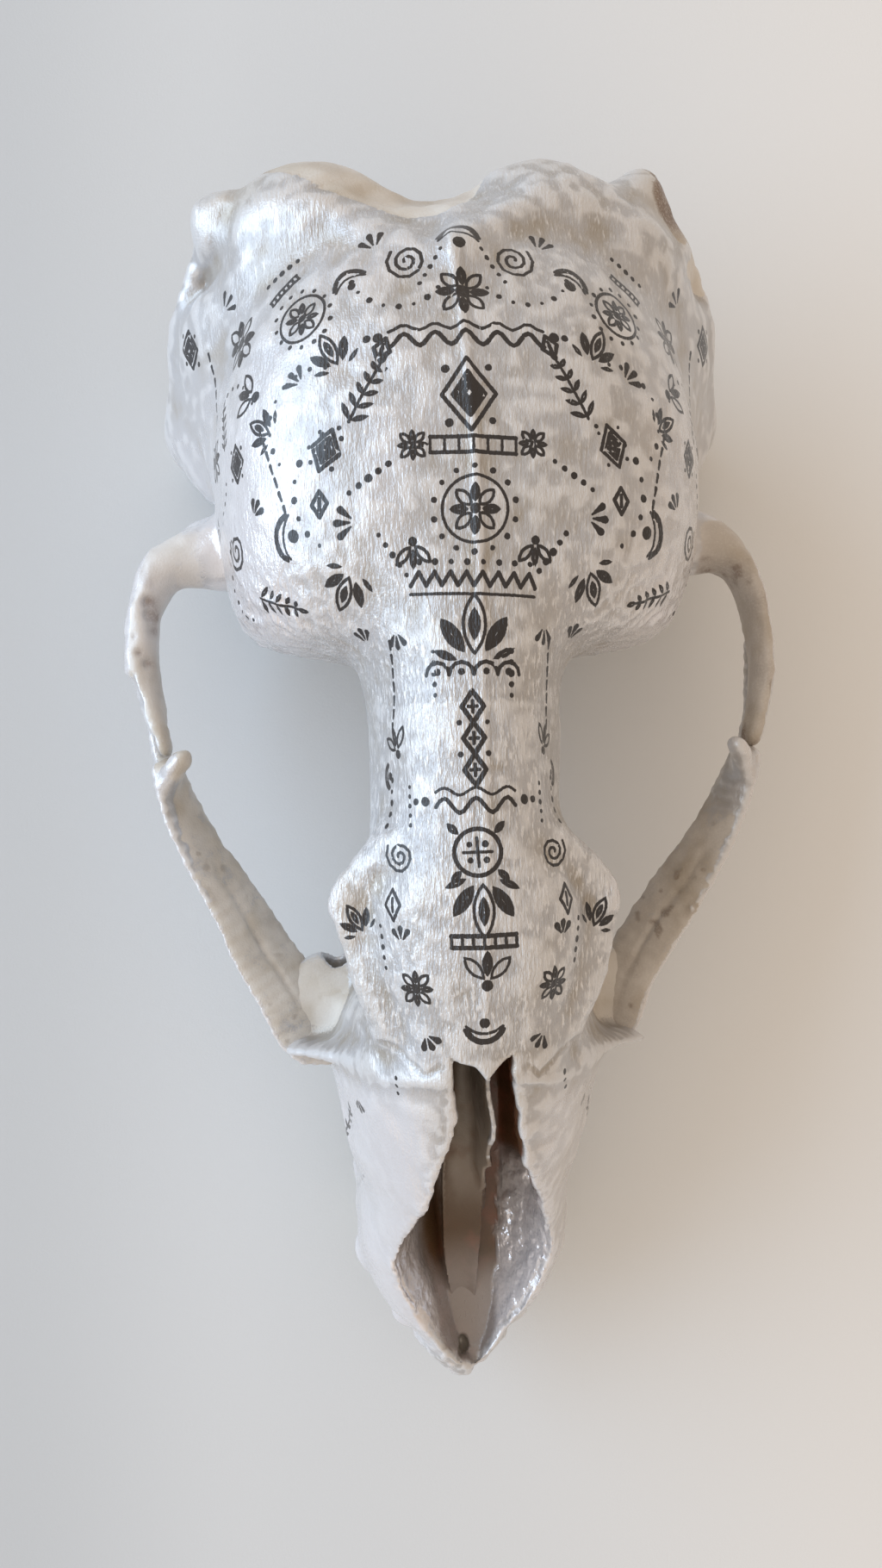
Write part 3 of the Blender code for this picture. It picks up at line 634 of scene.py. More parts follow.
def store_tone(piece):
    """Soft noise and the surface's hollows, for the materials: blotch, mottle, fine and wide hollows; the
    hollows give painted shade in dips and painted highlight on bumps.
    """
    points, outward = read_points(piece)
    pairs = np.empty(len(piece.data.edges) * 2, np.int32)
    piece.data.edges.foreach_get("vertices", pairs)
    pairs = pairs.reshape(-1, 2)
    evened = points
    hollows = []
    for rounds, gain in HOLLOWS:
        for _ in range(rounds):
            evened = near_mean(evened, pairs, len(points))
        hollows.append(0.5 + gain * np.einsum("nk,nk->n", evened - points, outward))
    blotch = 0.5 + 0.5 * (0.7 * BLOTCH.at(points + 5, 7) + 0.4 * BLOTCH.at(points, 3.2))
    mottle = 0.5 + 0.5 * (0.7 * EDGE.at(points + 8, 2.2) + 0.4 * FINE.at(points + 8, 1.1))
    store(piece, "tone", [blotch, mottle, *hollows])


def from_line(x, y, points):
    """The distance, seen from above, to a row of points."""
    nearest = np.full(len(x), FAR)
    for (x0, y0), (x1, y1) in zip(points, points[1:]):
        run_x, run_y = x1 - x0, y1 - y0
        part = np.clip(((x - x0) * run_x + (y - y0) * run_y) / (run_x ** 2 + run_y ** 2), 0, 1)
        nearest = np.minimum(nearest, np.hypot(x - x0 - part * run_x, y - y0 - part * run_y))
    return nearest


def rim_gap(x, y):
    """How far a point is from the rim of the nose, seen from above."""
    return np.minimum(*(np.abs(hand * x - curve(y, *columns(NOSE_RIM[hand]))) for hand in (LEFT, RIGHT)))


def arm_pits(x, y):
    """How deep the arm's pits are at places seen from above."""
    depth = np.zeros(len(x))
    for pit_x, pit_y, reach, deepest in ARM_PITS:
        depth += deepest * np.exp(-((x - pit_x) ** 2 + (y - pit_y) ** 2) / reach ** 2)
    return depth


def cranium_relief(points, outward):
    """The fine forms of the cranium's surface, as a height along its outward direction."""
    x, y, z = points.T
    up = rise(outward[:, 2], 0.15, 0.6)
    lift = 0.3 * BROAD.at(points, 15) + 0.24 * BROAD.at(points + 50, 6.5)
    lift += 0.2 * MIDDLE.at(points * (1, 0.7, 1), 3.4) + 0.09 * MIDDLE.at(points + 31, 1.9)

    crown = up * rise(y, -34, -30) * rise(z, 58, 64)
    line = x - curve(y, *columns(CREST_LINE))
    sharp = 0.34 + 0.2 * rise(y, 24, 46)
    ridge = sharp * hump(line, 0.7) + 0.3 * hump(line, 3.2) * rise(y, 30, 60)
    lift += crown * ridge * (1 - rise(y, 92, 100))

    for dent_x, dent_y, dent_z, reach, height in DENTS:
        away = (x - dent_x) ** 2 + (y - dent_y) ** 2 + (z - dent_z) ** 2
        lift += height * np.exp(-away / reach ** 2)

    lift -= up * arm_pits(x, y)
    broken = rise(30.2 - y, 0, 0.9) * hump(y - 27, 3.6) * rise(-x, 60, 62)
    lift -= broken * rise(-outward[:, 0], 0.2, 0.7)
    wobble = 0.35 * EDGE.at(points, 2.2)
    for seam in SEAMS:
        lift -= 0.3 * up * hump(from_line(x, y, seam) + wobble, 0.5)

    corner = hump(np.abs(x - midline(y)) - 33, 13) * hump(y - 36, 9) * rise(z, 34, 44)
    fold = 1 - np.abs(MIDDLE.at(points * (1, 1, 1.6), 3.1))
    lift += corner * (0.7 * (fold - 0.6) + 0.2 * FINE.at(points, 1.4))
    rear = rise(y, 92, 104)
    lift += rear * 0.28 * MIDDLE.at(points + 9, 3.6)

    rim = hump(rim_gap(x, y), 2.6) * rise(-y, 39, 44) * rise(z, 26, 32)
    lift += rim * (0.24 * MIDDLE.at(points, 2.4) + 0.2 * FINE.at(points, 1.1))
    tip = rise(-y, 106, 111)
    lift += tip * (0.4 * MIDDLE.at(points + 3, 1.9) + 0.2 * FINE.at(points, 1.0))
    brow = hump(np.abs(x) - 23, 3.2) * hump(y + 15, 17) * rise(z, 60, 66)
    lift += brow * (0.3 * MIDDLE.at(points, 2.4) + 0.14 * FINE.at(points, 1.2))
    arm = rise(np.abs(x), 50, 56) * rise(64 - y, 0, 6)
    lift += arm * 0.2 * MIDDLE.at(points, 2.8)
    inside = rise(y, -106, -100) * (1 - rise(y, -46, -40)) * hump(np.minimum(outward[:, 2], 0), 0.5)
    inside = inside * rise(x, 3.5, 6) * rise(-outward[:, 0], 0.1, 0.45) * rise(-y, 66, 74)
    lift += inside * (0.42 * MIDDLE.at(points + 17, 3.2) + 0.24 * FINE.at(points + 17, 1.5))
    return lift


class NoseWall:
    """The thin wall in the middle of the nose, on its plate."""
    box = ((-12, -108, 18), (10, -32, 78))
    TOP_HALF = 0.42
    FOOT_GROWTH = 0.4

    def distance(self, x, y, z, grain):
        foot, top, height = read(NOSE_WALL, y)
        line = y.ravel()
        spots = np.stack([line, np.zeros_like(line), np.zeros_like(line)], axis=1)
        ragged = (1.1 * MIDDLE.at(spots, 3.4) + 0.6 * FINE.at(spots, 1.3)).reshape(y.shape)
        part = np.clip((z - NOSE_WALL_FOOT) / (height - NOSE_WALL_FOOT + 1e-6), 0, 1)
        centre = foot + (top - foot) * part + 0.35 * np.sin(y * 0.35 + z * 0.12)
        half = self.TOP_HALF + self.FOOT_GROWTH * (1 - part)
        wall = np.maximum(np.abs(x - centre) - half, z - height - ragged)
        wall = np.maximum(wall, beyond(NOSE_WALL_ENDS, y))
        left, right, height = read(NOSE_PLATE, y)
        middle, half = (left + right) / 2, (right - left) / 2
        bowl = 0.9 * ((x - middle) / half) ** 2 - 0.5
        plate = np.maximum(np.abs(x - middle) - half, (z - height - bowl) * 0.9)
        plate = np.maximum(plate, beyond(NOSE_PLATE_ENDS, y))
        both = smooth_least(wall, plate, 1.6)
        return np.maximum(both, NOSE_PLATE_FOOT - z)


def cranium_field():
    """The skull with its hollows cut; the whole bone before the cuts is kept beside it."""
    field = Field(*CRANIUM_BOX, CRANIUM_GRAIN)
    field.add(Loft(BRAINCASE), SOFT)
    field.add(Loft(SHELF), SHELF_SOFT)
    field.add(Loft(FOREHEAD), FOREHEAD_SOFT)
    for stations in (ORBIT_WALL, PALATE, SNOUT):
        field.add(Loft(stations), SOFT)
    for side in (LEFT, RIGHT):
        for x, y, z, wide, long, tall, softness in LUMPS:
            field.add(Lump(side * x, y, z, wide, long, tall), softness)
        for path, softness in ((NUCHAL_CREST[side], 5), (BROW, 4), (FACE_RIDGE, 3), (CHEEK_ROOT, 5),
                               (SQUAMOSAL_ARM[side], 3)):
            field.add_path(rods(path, side), softness)
        for x, y, radius, *_ in POSTCANINES + INCISORS + [CANINE]:
            field.add(Lump(side * x, y, GUM_LEVEL + 3.4, radius + 1.1, radius + 1.2, 3.6), 2)
    for *lump, softness in REAR_LUMPS:
        field.add(Lump(*lump), softness)
    field.add_path(rods(MIDLINE_RIDGE, LEFT), 4)
    for low, high, rounds in CREASES:
        field.soften(low, high, rounds)
    field.whole = field.values.copy()
    field.cut(NoseSpace(), 0.8)
    field.cut(Loft(THROAT), 1.5)
    field.cut(Loft(FORAMEN_MAGNUM), 1.5)
    field.cut(Lump(*TIP_HOLE), 0.5)
    for side in (LEFT, RIGHT):
        field.cut_path(rods(CHEEK_CANAL, side), 1.0)
    level = field.axes[2][None, None, :]
    field.values = np.maximum(field.values, -level).astype(np.float32)
    return field


def inner_nose(points):
    """1 on the walls of the nose space, 0 on the outside of the bone."""
    low, high = NoseSpace.box
    space = Field(low, high, INNER_NOSE_GRAIN)
    space.add(NoseSpace(), SHARP)
    inside_box = np.all((points > np.array(low) + 1.5) & (points < np.array(high) - 1.5), axis=1)
    result = np.zeros(len(points))
    result[inside_box] = 1 - rise(space.sample(points[inside_box]), 0.35, 1.1)
    return result


def cranium_coat(points, outward, nose, depth):
    """Paint, brown staining with painted shade, nose lining, and pearly gloss with painted highlight of the
    cranium, each from 0 to 1.
    """
    x, y, z = points.T
    patch = BLOTCH.at(points, 7)
    speck = EDGE.at(points, 1.7)
    paint = rise(outward[:, 2] + 0.016 * (z - 34) + 0.12 * patch + 0.06 * speck, -0.62, -0.2)
    edge = curve(x, *columns(REAR_PAINT_EDGE)) + 1.2 * patch + 0.7 * speck
    paint *= 1 - rise(y, 99, 103) * rise(edge - z, -1.2, 1.2)
    paint *= 1 - rise(y - curve(x, *columns(PAINT_FOLD)) + 0.6 * patch + 0.3 * speck, -0.5, 0.7)
    paint *= 1 - 0.85 * hump(x - 40, 5) * hump(y - 114, 6)
    arm = rise(np.abs(x), 46, 53) * rise(62 - y, 0, 5)
    outer = rise(outward[:, 0] * np.sign(x), 0.55, 0.9)
    paint *= 1 - arm * np.where(x > 0, 0.85, 0.62) * (1 - outer)
    root = rise(np.abs(x), 21, 25) * hump(y + 35, 9.5) * rise(z, 27, 30) * rise(outward[:, 2], 0.2, 0.5)
    paint *= 1 - 0.9 * root

    stain_and_shade = 0.9 * hump(x + 39, 5) * rise(y, 106, 112) + 0.9 * hump(x - 39, 6) * rise(y, 104, 110)
    stain_and_shade += 0.8 * hump(x + 23, 3.4) * hump(y + 15, 11) * rise(z, 62, 66) * rise(patch, -0.5, 0.5)
    # Browner in the deep dent at the back on the left: painted shade in the dent.
    stain_and_shade += 0.5 * hump(x - 13.3, 6) * rise(y, 104, 107) * hump(z - 59, 4)
    stain_and_shade += 0.25 * (1 - paint) * rise(patch, 0.1, 0.7)
    stain_and_shade += arm * (0.4 * rise(speck + patch, 0.6, 1.2) + np.where(x > 0, 0.25, 0.02))
    # Browner in the arm's pits, on their upper faces: painted shade in the pits.
    stain_and_shade += np.clip(arm_pits(x, y), 0, 1) * rise(outward[:, 2], 0, 0.4)
    red = rise(x, 0.4, 2.5) * rise(y, -92, -84) + 0.35 * rise(-y, 60, 70) * hump(x + 6.4, 1.4)
    reddened = np.clip(red, 0, 1) * (0.75 + 0.25 * speck) + 0.25 * rise(speck, 0.3, 0.8)
    stain_and_shade = np.where(nose > 0.5, reddened, stain_and_shade)

    nose = nose * rise(depth + 0.5 * speck, 1.2, 2.4)
    lining = nose * (1 - 0.42 * rise(-x, 0, 2) * rise(y, -84, -70))
    inner = nose * rise(-outward[:, 0], 0.0, 0.35)
    pearl_and_painted_highlight = inner * rise(x, 4.2, 6.4) * rise(-y + 0.8 * speck, 68, 74)
    pearl_and_painted_highlight += 0.6 * nose * rise(-x, 5.6, 8) * rise(-y, 56, 72) * rise(z, 28, 33)
    pearl_and_painted_highlight += 0.3 * nose * rise(-y, 90, 100)
    # Brighter silver pearl on the flanks, front corners, brow edges and nose rim, stronger on the right side
    # towards the window: painted highlight over the paint's real pearly gloss.
    flank_painted_highlight = hump(y - 46, 30) * rise(y, 20, 30) * rise(np.abs(x), 22, 38)
    flank_painted_highlight += rise(-y, 42, 52) * rise(np.abs(x), 6, 14)
    flank_painted_highlight *= np.where(x < 0, 0.9, 0.4)
    flank_painted_highlight += 0.3 * hump(x + 20, 12) * hump(y - 70, 30) * rise(patch, -0.5, 0.3)
    flank_painted_highlight += 0.4 * hump(np.abs(x) - 33, 13) * hump(y - 34, 8)
    flank_painted_highlight += 0.5 * hump(np.abs(x) - 26, 3) * hump(y + 14, 14) * rise(z, 58, 62)
    pearl_and_painted_highlight += (1 - nose) * paint * flank_painted_highlight * (1 + 0.3 * patch)
    pearl_and_painted_highlight += 0.4 * (1 - nose) * hump(rim_gap(x, y), 1.0) * rise(-y, 44, 50) * rise(outward[:, 2], 0.1, 0.5)
    return [paint, np.clip(stain_and_shade, 0, 1), lining, np.clip(pearl_and_painted_highlight, 0, 1)]


def cheek_field(side):
    (inner, *low), (outer, *high) = CHEEK_BOX
    left, right = sorted((side * inner, side * outer))
    field = Field((left, *low), (right, *high), CHEEK_GRAIN)
    for path in (CHEEK_BLADE[side], CHEEK_HEAD[side], CHEEK_TAIL[side]):
        field.add_path(rods(path, side), 2.0)
    return field


def cheek_relief(side, points, outward):
    """Ragged edges, pits and the long groove on the cheek bone's upper side."""
    x, y, _ = points.T
    edge = 1 - np.abs(outward[:, 2])
    lift = 0.15 * MIDDLE.at(points, 5) + 0.3 * edge * MIDDLE.at(points + 7, 2.6)
    lift += 0.14 * edge * FINE.at(points, 1.2)
    up = rise(outward[:, 2], 0.1, 0.6)
    path = np.array(CHEEK_BLADE[side])
    middle = curve(y, path[:, 1], path[:, 0]) * side
    lift -= 0.5 * up * hump(x - middle + 0.8 * side + 0.5 * EDGE.at(points, 3), 0.8) * hump(y + 24, 14)
    return lift


def cheek_coat(side, points, outward):
    """White paint on the outer side and in patches, bare bone on the inner and upper side."""
    patch = BLOTCH.at(points + 20, 6)
    speck = EDGE.at(points, 1.5)
    outer = outward[:, 0] * side - 0.35 * outward[:, 1]
    paint = rise(outer + 0.3 * patch + 0.12 * speck, 0.0, 0.5)
    across = rise(points[:, 2] + 0.5 * speck, 38.0, 39.2) * rise(13 - points[:, 1], 0, 8)
    paint = np.maximum(paint, 0.8 * across)
    paint = np.maximum(paint, (0.42 if side == RIGHT else 0.38) * rise(patch + 0.3 * speck, -0.5, 0.2))
    if side == LEFT:
        paint = np.maximum(paint, 0.75 * rise(points[:, 1] + 4 * patch + speck, -18, 12))
    paint *= rise(outward[:, 2], -0.85, -0.4)
    stain_and_shade = 0.4 * rise(speck + 0.8 * patch, 0.85, 1.25) + 0.15 * rise(-patch, 0.2, 0.7)
    # The left cheek's bone is a little browner, and its paint is warmed: painted warm shade on that side.
    stain_and_shade += 0.1 + 0.25 * paint if side == LEFT else 0.0
    nothing = np.zeros(len(points))
    # Last channel: pearly gloss on the outer painted side, its silver colour a painted highlight.
    return [paint, np.clip(stain_and_shade, 0, 1), nothing, 0.35 * paint * rise(outer, -0.4, 0.4)]


def wall_relief(points, outward):
    return 0.12 * MIDDLE.at(points, 2.2)


def wall_coat(points, outward):
    """The nose wall: tan, with a torn white edge along its top."""
    _, y, z = points.T
    top = curve(y, *columns([(place, height) for place, _, _, height in NOSE_WALL]))
    speck = EDGE.at(points, 1.5)
    paint = rise(z - top + 0.9 * speck, -1.7, -0.5) * rise(y, -68, -60)
    stain_and_shade = 0.4 * rise(BLOTCH.at(points, 4) + 0.4 * speck, 0.2, 0.8)
    lining = (1 - paint) * (1 - 0.4 * rise(y, -84, -68) * rise(0.5 - outward[:, 0], 0, 0.4))
    return [paint, np.clip(stain_and_shade, 0, 1), lining, 0.25 * rise(-y, 84, 98)]


def tooth_numbers():
    """Name, side and numbers of every upper tooth."""
    teeth = []
    for side, word in ((LEFT, "left"), (RIGHT, "right")):
        teeth.append((f"canine_{word}", side, CANINE))
        teeth += [(f"incisor_{word}_{count}", side, numbers) for count, numbers in enumerate(INCISORS, 1)]
        teeth += [(f"postcanine_{word}_{count}", side, (*numbers, POSTCANINE_CROWN, 0.3, 0.2))
                  for count, numbers in enumerate(POSTCANINES, 1)]
    return teeth


TOOTH_SIDES = 28
TOOTH_LEVELS = 22
TOOTH_FLATNESS = 0.85
HIDDEN_ROOT = 3.2


def tooth_mesh(name, side, numbers):
    """A curved, slightly fluted cone with a swollen foot, from the bone down to a blunt tip."""
    x, y, radius, crown, rake, lean = numbers
    sharpness = 0.62 if numbers is CANINE else 0.74
    rings = []
    for level in range(TOOTH_LEVELS + 1):
        down = level / TOOTH_LEVELS
        height = HIDDEN_ROOT - (HIDDEN_ROOT + crown) * down
        share = max(-height / crown, 0)
        swelling = 1 + 0.05 * math.exp(-((share - 0.06) / 0.06) ** 2)
        reach = radius * (1 - share ** 1.25) ** sharpness * swelling
        turns = np.arange(TOOTH_SIDES) * 2 * math.pi / TOOTH_SIDES
        flute = 1 + 0.02 * np.cos(7 * turns) * (1 - share) + 0.03 * np.cos(2 * turns + 0.6)
        middle = side * (x - lean * share) + midline(y)
        ring = np.stack([middle + TOOTH_FLATNESS * reach * flute * np.cos(turns),
                         y + rake * share ** 2 + reach * flute * np.sin(turns),
                         np.full(TOOTH_SIDES, GUM_LEVEL + height)], axis=1)
        rings.append(ring)
    points = np.concatenate(rings + [rings[0].mean(axis=0)[None], rings[-1].mean(axis=0)[None]])
    start = np.arange(TOOTH_SIDES)
    after = (start + 1) % TOOTH_SIDES
    triangles = []
    for level in range(TOOTH_LEVELS):
        a, b = level * TOOTH_SIDES, (level + 1) * TOOTH_SIDES
        triangles += [np.stack([a + start, b + start, b + after], axis=1),
                      np.stack([a + start, b + after, a + after], axis=1)]
    last = TOOTH_LEVELS * TOOTH_SIDES
    triangles.append(np.stack([start, after, np.full(TOOTH_SIDES, len(points) - 2)], axis=1))
    triangles.append(np.stack([last + after, last + start, np.full(TOOTH_SIDES, len(points) - 1)], axis=1))
    return mesh_of(name, points, np.concatenate(triangles))


# The drawn pattern, made of strokes: y, height of the axis that the unrolled sheet is wrapped round
AXIS_HEIGHT = [(-112, 22), (-60, 27), (-45, 42), (-30, 56), (20, 56), (34, 47), (112, 44)]
BOLD, LIGHT = 0.37, 0.27      # half widths of the pen's lines
PEN_SEED = 41
DOT_GROWTH = 1.25


class Sheet:
    """The skull's upper side unrolled: the way across from the crown line, and y."""
    STEP = 2.0
    WIDEST = 116                 # degrees from the crown line
    REACH = 70.0                 # where the search for the surface starts
    LAST_REACH = 2

    def __init__(self, field):
        self.field = field
        self.rows = np.arange(-112, 113, self.STEP)
        self.degrees = np.arange(-self.WIDEST, self.WIDEST + 1, self.STEP)
        y, turn = np.meshgrid(self.rows, np.radians(self.degrees), indexing="ij")
        axis = np.stack([midline(y), y, curve(y, *columns(AXIS_HEIGHT))], axis=-1).reshape(-1, 3)
        away = np.stack([np.sin(turn), np.zeros_like(turn), np.cos(turn)], axis=-1).reshape(-1, 3)
        reach = np.full(len(axis), self.REACH)
        moving = np.ones(len(axis), bool)
        while moving.any() and reach.max() > self.LAST_REACH:
            spots = axis[moving] + away[moving] * reach[moving, None]
            gap = field.sample(spots)
            still = (gap > 0.02) & (reach[moving] > self.LAST_REACH)
            reach[moving] -= np.where(still, np.clip(gap * 0.6, 0.05, 1.0), 0)
            moving[moving] = still
        self.points = (axis + away * reach[:, None]).reshape(*y.shape, 3)
        steps = np.linalg.norm(np.diff(self.points, axis=1), axis=2)
        across = np.concatenate([np.zeros((len(self.rows), 1)), np.cumsum(steps, axis=1)], axis=1)
        self.across = across - across[:, [len(self.degrees) // 2]]

    def row(self, y):
        """The row at or below y, and how far y is on the way to the next."""
        place = float(np.clip((y - self.rows[0]) / self.STEP, 0, len(self.rows) - 1.001))
        return int(place), place - int(place)

    def across_at(self, degrees, y):
        row, _ = self.row(y)
        return np.interp(degrees, self.degrees, self.across[row])

    def at(self, across, y):
        """The place on the bone."""
        row, part = self.row(y)
        first, second = (
            np.array([np.interp(across, self.across[r], self.points[r, :, k]) for k in range(3)])
            for r in (row, row + 1))
        return first * (1 - part) + second * part


class Pen:
    """Strokes of a fine black pen, drawn in a motif's own axes and kept as places on the sheet."""

    def __init__(self, sheet, seed):
        self.sheet = sheet
        self.random = np.random.default_rng(seed)
        self.strokes = []

    def draw(self, motif, degrees, y, turn=0.0, size=1.0, both=True):
        """Draws a motif at a spot, and again on the other side."""
        for side in (LEFT, RIGHT) if both else (LEFT,):
            self.side, self.size = side, size * (1 + self.random.uniform(-0.04, 0.04))
            self.turn = math.radians(turn + self.random.uniform(-2.5, 2.5))
            shift = self.random.uniform(-0.25, 0.25, 2)
            self.centre = (self.sheet.across_at(side * degrees, y) + shift[0], y + shift[1])
            self.weight = 1 + self.random.uniform(-0.12, 0.12)
            motif(self)

    def spot(self, a, b):
        """A place in the motif's own axes, as across and y on the sheet."""
        a, b = a * self.size, b * self.size
        across = a * math.cos(self.turn) - b * math.sin(self.turn)
        along = a * math.sin(self.turn) + b * math.cos(self.turn)
        return self.centre[0] + self.side * across, self.centre[1] + along

    def keep(self, start, end, half, end_half=None, ring=0.0, inset=0.0):
        """Keeps a stroke: a tapered line, a ring if it has a radius, or a pointed oval with an inset."""
        end_half = half if end_half is None else end_half
        self.strokes.append((*start, *end, half * self.weight, end_half * self.weight, ring, inset))

    def line(self, a0, b0, a1, b1, half=LIGHT, end_half=None):
        self.keep(self.spot(a0, b0), self.spot(a1, b1), half, end_half)

    def path(self, points, half=LIGHT):
        for (a0, b0), (a1, b1) in zip(points, points[1:]):
            self.line(a0, b0, a1, b1, half)

    def dot(self, a, b, radius):
        spot = self.spot(a, b)
        self.keep(spot, spot, DOT_GROWTH * radius * self.size * (1 + self.random.uniform(-0.14, 0.14)))

    def ring(self, a, b, radius, half=LIGHT):
        spot = self.spot(a, b)
        self.keep(spot, spot, half, ring=radius * self.size)

    def arc(self, a, b, radius, start, end, half=LIGHT, pieces=8):
        turns = np.radians(np.linspace(start, end, pieces + 1))
        self.path([(a + radius * math.cos(t), b + radius * math.sin(t)) for t in turns], half)

    def leaf(self, a, b, angle, half_long, half_wide, filled=True):
        """A pointed oval, its long way at an angle from the motif's own b axis."""
        long, wide = half_long * self.size, half_wide * self.size
        radius = (long ** 2 + wide ** 2) / (2 * wide)
        lean = math.radians(angle)
        start, end = (self.spot(a + k * 0.4 * math.sin(lean), b + k * 0.4 * math.cos(lean)) for k in (-1, 1))
        if filled:
            self.keep(start, end, wide / 2 / self.weight, ring=radius - wide / 2, inset=radius - wide)
        else:
            self.keep(start, end, LIGHT, ring=radius, inset=radius - wide)

    def marks(self):
        """The strokes as frames on the bone: centre, across, along and outward, then their sizes."""
        rows = np.array(self.strokes)
        starts = np.array([self.sheet.at(*row[:2]) for row in rows])
        ends = np.array([self.sheet.at(*row[2:4]) for row in rows])
        run = ends - starts
        length = np.linalg.norm(run, axis=1)
        shaped = rows[:, 6] > 0
        run[length < 0.01] = (0, 1, 0)
        along = run / np.linalg.norm(run, axis=1, keepdims=True)
        centre = (starts + ends) / 2
        outward = self.sheet.field.slope(centre, 2.0)
        across = np.cross(along, outward)
        across /= np.linalg.norm(across, axis=1, keepdims=True)
        outward = np.cross(across, along)
        half_length = np.where(shaped, 0.0, length / 2)
        half = (rows[:, 4] + rows[:, 5]) / 2
        taper = np.where(half_length > 0.05, (rows[:, 5] - rows[:, 4]) / np.maximum(2 * half_length, 0.1), 0)
        return centre, across, along, outward, half_length, taper, rows[:, 6], half, rows[:, 7]


SLOTS = 3                    # strokes that one face can show
INK_REACH = 0.35
LEAST_FACING = 0.25
INK_DEPTH = 3.0
FAR_STROKE = (60.0, 60.0, 0.0, 0.0)


def stroke_gap(across, along, half_length, taper, ring, half, inset):
    """How far a place is from a stroke's ink, in the stroke's own axes."""
    away = np.sqrt((np.abs(across) + inset) ** 2 + np.maximum(np.abs(along) - half_length, 0) ** 2)
    return np.abs(away - ring) - (half + taper * along)


def ink(piece, marks):
    """Gives each corner of each face its place in the axes of the three nearest strokes."""
    points, _ = read_points(piece)
    count = len(piece.data.polygons)
    corners = np.empty(count * 3, np.int32)
    piece.data.loops.foreach_get("vertex_index", corners)
    corners = corners.reshape(-1, 3)
    shapes = points[corners]
    middles = shapes.mean(axis=1)
    sizes = np.linalg.norm(shapes - middles[:, None], axis=2).max(axis=1)
    facing = np.cross(shapes[:, 1] - shapes[:, 0], shapes[:, 2] - shapes[:, 0])
    facing /= np.maximum(np.linalg.norm(facing, axis=1, keepdims=True), 1e-9)
    tree = KDTree(count)
    for number, middle in enumerate(middles):
        tree.insert(middle, number)
    tree.balance()

    best = np.full((count, SLOTS), FAR)
    chosen = np.full((count, SLOTS), -1)
    centre, across, along, outward, half_length, taper, ring, half, inset = marks
    for number in range(len(centre)):
        reach = half_length[number] + ring[number] + half[number] + 2.0
        found = np.array([entry[1] for entry in tree.find_range(centre[number], reach)], int)
        if not len(found):
            continue
        offset = middles[found] - centre[number]
        towards = facing[found] @ outward[number] > LEAST_FACING
        found = found[towards & (np.abs(offset @ outward[number]) < INK_DEPTH)]
        offset = middles[found] - centre[number]
        gap = stroke_gap(offset @ across[number], offset @ along[number], half_length[number], taper[number],
                         ring[number], half[number], inset[number])
        near = gap < sizes[found] + INK_REACH
        found, gap = found[near], gap[near]
        gaps = np.concatenate([best[found], gap[:, None]], axis=1)
        numbers = np.concatenate([chosen[found], np.full((len(found), 1), number)], axis=1)
        order = np.argsort(gaps, axis=1)[:, :SLOTS]
        best[found] = np.take_along_axis(gaps, order, axis=1)
        chosen[found] = np.take_along_axis(numbers, order, axis=1)

    for slot in range(SLOTS):
        number = chosen[:, slot]
        drawn = number >= 0
        place = np.tile(np.array(FAR_STROKE, np.float32), (count, 3, 1))
        size = np.zeros((count, 3, 4), np.float32)
        picked = number[drawn]
        offset = shapes[drawn] - centre[picked][:, None]
        for channel, axis in enumerate((across, along)):
            place[drawn, :, channel] = np.einsum("fck,fk->fc", offset, axis[picked])
        for channel, values in enumerate((half_length, taper), 2):
            place[drawn, :, channel] = values[picked][:, None]
        for channel, values in enumerate((ring, half, inset)):
            size[drawn, :, channel] = values[picked][:, None]
        store(piece, f"stroke_place_{slot}", place.reshape(-1, 4).T, "CORNER")
        store(piece, f"stroke_size_{slot}", size.reshape(-1, 4).T, "CORNER")


def polar(radius, degrees):
    """A place at a radius, turned clockwise from a motif's own b axis."""
    return radius * math.sin(math.radians(degrees)), radius * math.cos(math.radians(degrees))


def centred(count):
    """Whole steps about 0."""
    return [step - (count - 1) / 2 for step in range(count)]


def diamond(pen, wide, tall, b=0.0):
    pen.path([(0, b + tall), (wide, b), (0, b - tall), (-wide, b), (0, b + tall)], BOLD)


# Motifs, in millimetres
def rosette(pen, petals=8, radius=3.3):
    pen.dot(0, 0, 0.62)
    for petal in range(petals):
        turn = 360 * petal / petals
        pen.leaf(*polar(radius * 0.62, turn), turn, radius * 0.38, radius * 0.2, filled=petal % 2 == 0)


def ringed_rosette(pen, dots=14):
    rosette(pen, 8, 3.4)
    pen.ring(0, 0, 4.3)
    for dot in range(dots):
        pen.dot(*polar(5.5, 360 * dot / dots), 0.33)


def lozenge(pen, wide=3.4, tall=4.6):
    for share in (1, 0.6, 0.46, 0.32, 0.18):
        diamond(pen, wide * share, tall * share)
    for side in (-1, 1):
        pen.dot(side * wide * 0.8, tall * 0.75, 0.42)
        pen.dot(side * wide * 0.8, -tall * 0.75, 0.42)


def lozenge_chain(pen):
    for b in (-5, 0, 5):
        diamond(pen, 1.7, 2.5, b)
        pen.line(-0.7, b, 0.7, b)
        pen.line(0, b - 0.9, 0, b + 0.9)
    for side in (-1, 1):
        for b in (-2.5, 2.5):
            pen.dot(side * 2.2, b, 0.34)


def crescent(pen, radius=3.0):
    for share in (1.0, 0.9):
        pen.arc(0, 0, radius * share, 200, 340, BOLD, 9)
    pen.arc(0, radius * 0.75, radius * 1.28, 226, 314, LIGHT, 7)
    pen.dot(0, 0, 0.66)


def fan(pen, leaves=3, reach=2.6):
    for step in centred(leaves):
        pen.leaf(*polar(reach, 42 * step), 42 * step, 1.8, 0.72, filled=step == 0)
    pen.dot(0, -0.4, 0.6)


